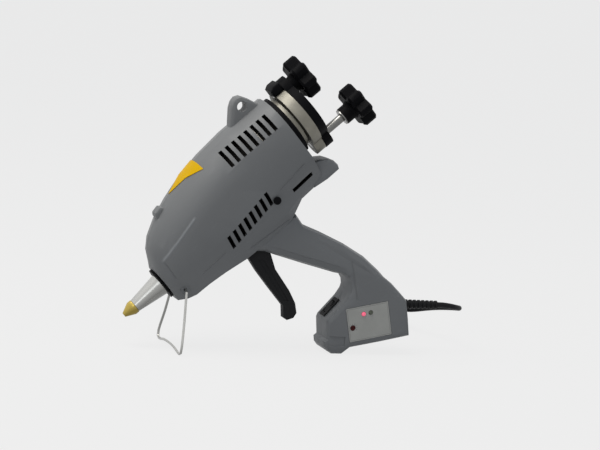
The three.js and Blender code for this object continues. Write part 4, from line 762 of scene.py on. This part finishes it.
def revolved(profile, segments, ribs=0, rib_depth=0.0, offset=0.0):
    """A closed turned solid along X, in millimetres; ribs run lengthwise where the body is wide."""
    mesh = bmesh.new()
    rows = []
    for along, radius in profile:
        if radius == 0:
            rows.append([mesh.verts.new((along, offset, 0))])
            continue
        row = []
        for k in range(segments):
            angle = 2 * math.pi * k / segments
            wave = 0.5 + 0.5 * math.cos(ribs * angle) if ribs else 0
            r = radius - rib_depth * wave * smoothstep(along, 18, 24) * smoothstep(along, 47, 42)
            row.append(mesh.verts.new((along, offset + r * math.cos(angle), r * math.sin(angle))))
        rows.append(row)
    for first, second in zip(rows, rows[1:]):
        for k in range(segments):
            a, b = first[k % len(first)], first[(k + 1) % len(first)]
            c, d = second[(k + 1) % len(second)], second[k % len(second)]
            corners = [v for i, v in enumerate((a, b, c, d)) if v not in (a, b, c, d)[:i]]
            mesh.faces.new(corners)
    return mesh


def plug():
    tail = coil_line()[-1]
    place = RELIEF_END + (tail + Vector((0, 3 * FIT_GAP, FIT_GAP))) * MM
    along = Vector((0, math.cos(PLUG_CLIMB), math.sin(PLUG_CLIMB)))
    level = Vector((-1, 0, 0))
    turn = Matrix((along, level, along.cross(level))).transposed().to_4x4()
    put = Matrix.Translation(place) @ turn @ Matrix.Scale(MM, 4)
    pieces = []
    body = revolved(PLUG_BODY, 96, GRIP_RIBS, 0.5)
    pins = [revolved(PLUG_PIN, 24, offset=side * PLUG_PIN_SPREAD) for side in (-1, 1)]
    for name, slot, solids in (("plug_body", "rubber", [body]), ("plug_pins", "brass", pins)):
        data = bpy.data.meshes.new(name)
        whole = bmesh.new()
        for solid in solids:
            solid.transform(put)
            solid.to_mesh(data)
            solid.free()
            whole.from_mesh(data)
        bmesh.ops.recalc_face_normals(whole, faces=whole.faces)
        for face in whole.faces:
            face.smooth = True
        whole.to_mesh(data)
        whole.free()
        piece = mesh_piece(name, data, slot, "gun")
        normals = piece.modifiers.new("edges", "EDGE_SPLIT")
        normals.split_angle = math.radians(50)
        pieces.append(piece)
    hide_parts("plug")
    return pieces


plug_pieces = plug()


# The side plug's stem, which reaches from its head into the sloping wall behind it
STEM = [(0, 0), (0, 3.3), (3.4, 3.5), (5.2, 3.1), (5.2, 0)]


def side_plug_stem():
    low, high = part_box("side_plug")
    middle = (low + high) / 2
    turn = Matrix((ACROSS, ALONG, -RISE)).transposed().to_4x4()
    stem = revolved(STEM, 32)
    stem.transform(Matrix.Translation((middle.x, high.y, middle.z)) @ turn @ Matrix.Scale(MM, 4))
    bmesh.ops.recalc_face_normals(stem, faces=stem.faces)
    data = bpy.data.meshes.new("side_plug_stem")
    stem.to_mesh(data)
    stem.free()
    mesh_piece("side_plug_stem", data, "black_plastic", "gun")


side_plug_stem()


line_length(lead_line)


# Studio: a pale floor and backdrop of one tone, a large lamp above, a fill lamp in front
BACKGROUND = (0.885, 0.885, 0.885, 1)


def backdrop_tone(tree, shader):
    """Camera, glossy and transmission rays see the flat background tone."""
    nodes = tree.nodes
    rays = nodes.new("ShaderNodeLightPath")
    of_world = shader.bl_idname == "ShaderNodeBackground"
    tone = nodes.new("ShaderNodeBackground" if of_world else "ShaderNodeEmission")
    tone.inputs[0].default_value = BACKGROUND
    tone.inputs[1].default_value = 1
    seen = nodes.new("ShaderNodeMath")
    seen.operation = "MAXIMUM"
    tree.links.new(rays.outputs["Is Camera Ray"], seen.inputs[0])
    glossy = nodes.new("ShaderNodeMath")
    glossy.operation = "MAXIMUM"
    tree.links.new(rays.outputs["Is Glossy Ray"], glossy.inputs[0])
    tree.links.new(rays.outputs["Is Transmission Ray"], glossy.inputs[1])
    tree.links.new(glossy.outputs[0], seen.inputs[1])
    return tone, seen


def world():
    made = bpy.data.worlds.new("studio")
    made.use_nodes = True
    tree = made.node_tree
    light = tree.nodes["Background"]
    light.inputs[0].default_value = (0.88, 0.94, 1, 1)
    light.inputs[1].default_value = 0.42
    tone, seen = backdrop_tone(tree, light)
    mix = tree.nodes.new("ShaderNodeMixShader")
    tree.links.new(seen.outputs[0], mix.inputs[0])
    tree.links.new(light.outputs[0], mix.inputs[1])
    tree.links.new(tone.outputs[0], mix.inputs[2])
    tree.links.new(mix.outputs[0], tree.nodes["World Output"].inputs[0])
    bpy.context.scene.world = made


def floor():
    mesh = bpy.data.meshes.new("floor")
    grid = bmesh.new()
    bmesh.ops.create_circle(grid, cap_ends=True, segments=96, radius=30)
    grid.to_mesh(mesh)
    grid.free()
    piece = bpy.data.objects.new("floor", mesh)
    bpy.context.scene.collection.objects.link(piece)
    material = bpy.data.materials.new("floor")
    material.use_nodes = True
    tree = material.node_tree
    shader = tree.nodes["Principled BSDF"]
    shader.inputs["Base Color"].default_value = (0.5, 0.5, 0.5, 1)
    shader.inputs["Roughness"].default_value = 0.9
    shader.inputs["Specular IOR Level"].default_value = 0
    tone, seen = backdrop_tone(tree, shader)
    mix = tree.nodes.new("ShaderNodeMixShader")
    held = tree.nodes.new("ShaderNodeMath")
    held.operation = "MULTIPLY"
    held.inputs[1].default_value = 0.9
    tree.links.new(seen.outputs[0], held.inputs[0])
    tree.links.new(held.outputs[0], mix.inputs[0])
    tree.links.new(shader.outputs[0], mix.inputs[1])
    tree.links.new(tone.outputs[0], mix.inputs[2])
    tree.links.new(mix.outputs[0], tree.nodes["Material Output"].inputs[0])
    mesh.materials.append(material)


def lamp(name, place, target, size, power, colour):
    data = bpy.data.lights.new(name, "AREA")
    data.shape = "SQUARE"
    data.size = size
    data.energy = power
    data.color = colour
    piece = bpy.data.objects.new(name, data)
    bpy.context.scene.collection.objects.link(piece)
    piece.location = place
    piece.rotation_mode = "QUATERNION"
    piece.rotation_quaternion = (Vector(place) - Vector(target)).to_track_quat("Z", "Y")


world()
floor()
lamp(
    "top_lamp", place=(-0.7, -0.2, 1.9), target=(0, 0, 0.15), size=1.2, power=34, colour=(1, 0.97, 0.92))
lamp(
    "front_lamp", place=(-1.2, -2.0, 0.9), target=(0, 0, 0.15), size=0.9, power=4, colour=(0.95, 0.98, 1))

bpy.context.scene.view_settings.view_transform = "Standard"

bpy.context.view_layer.update()
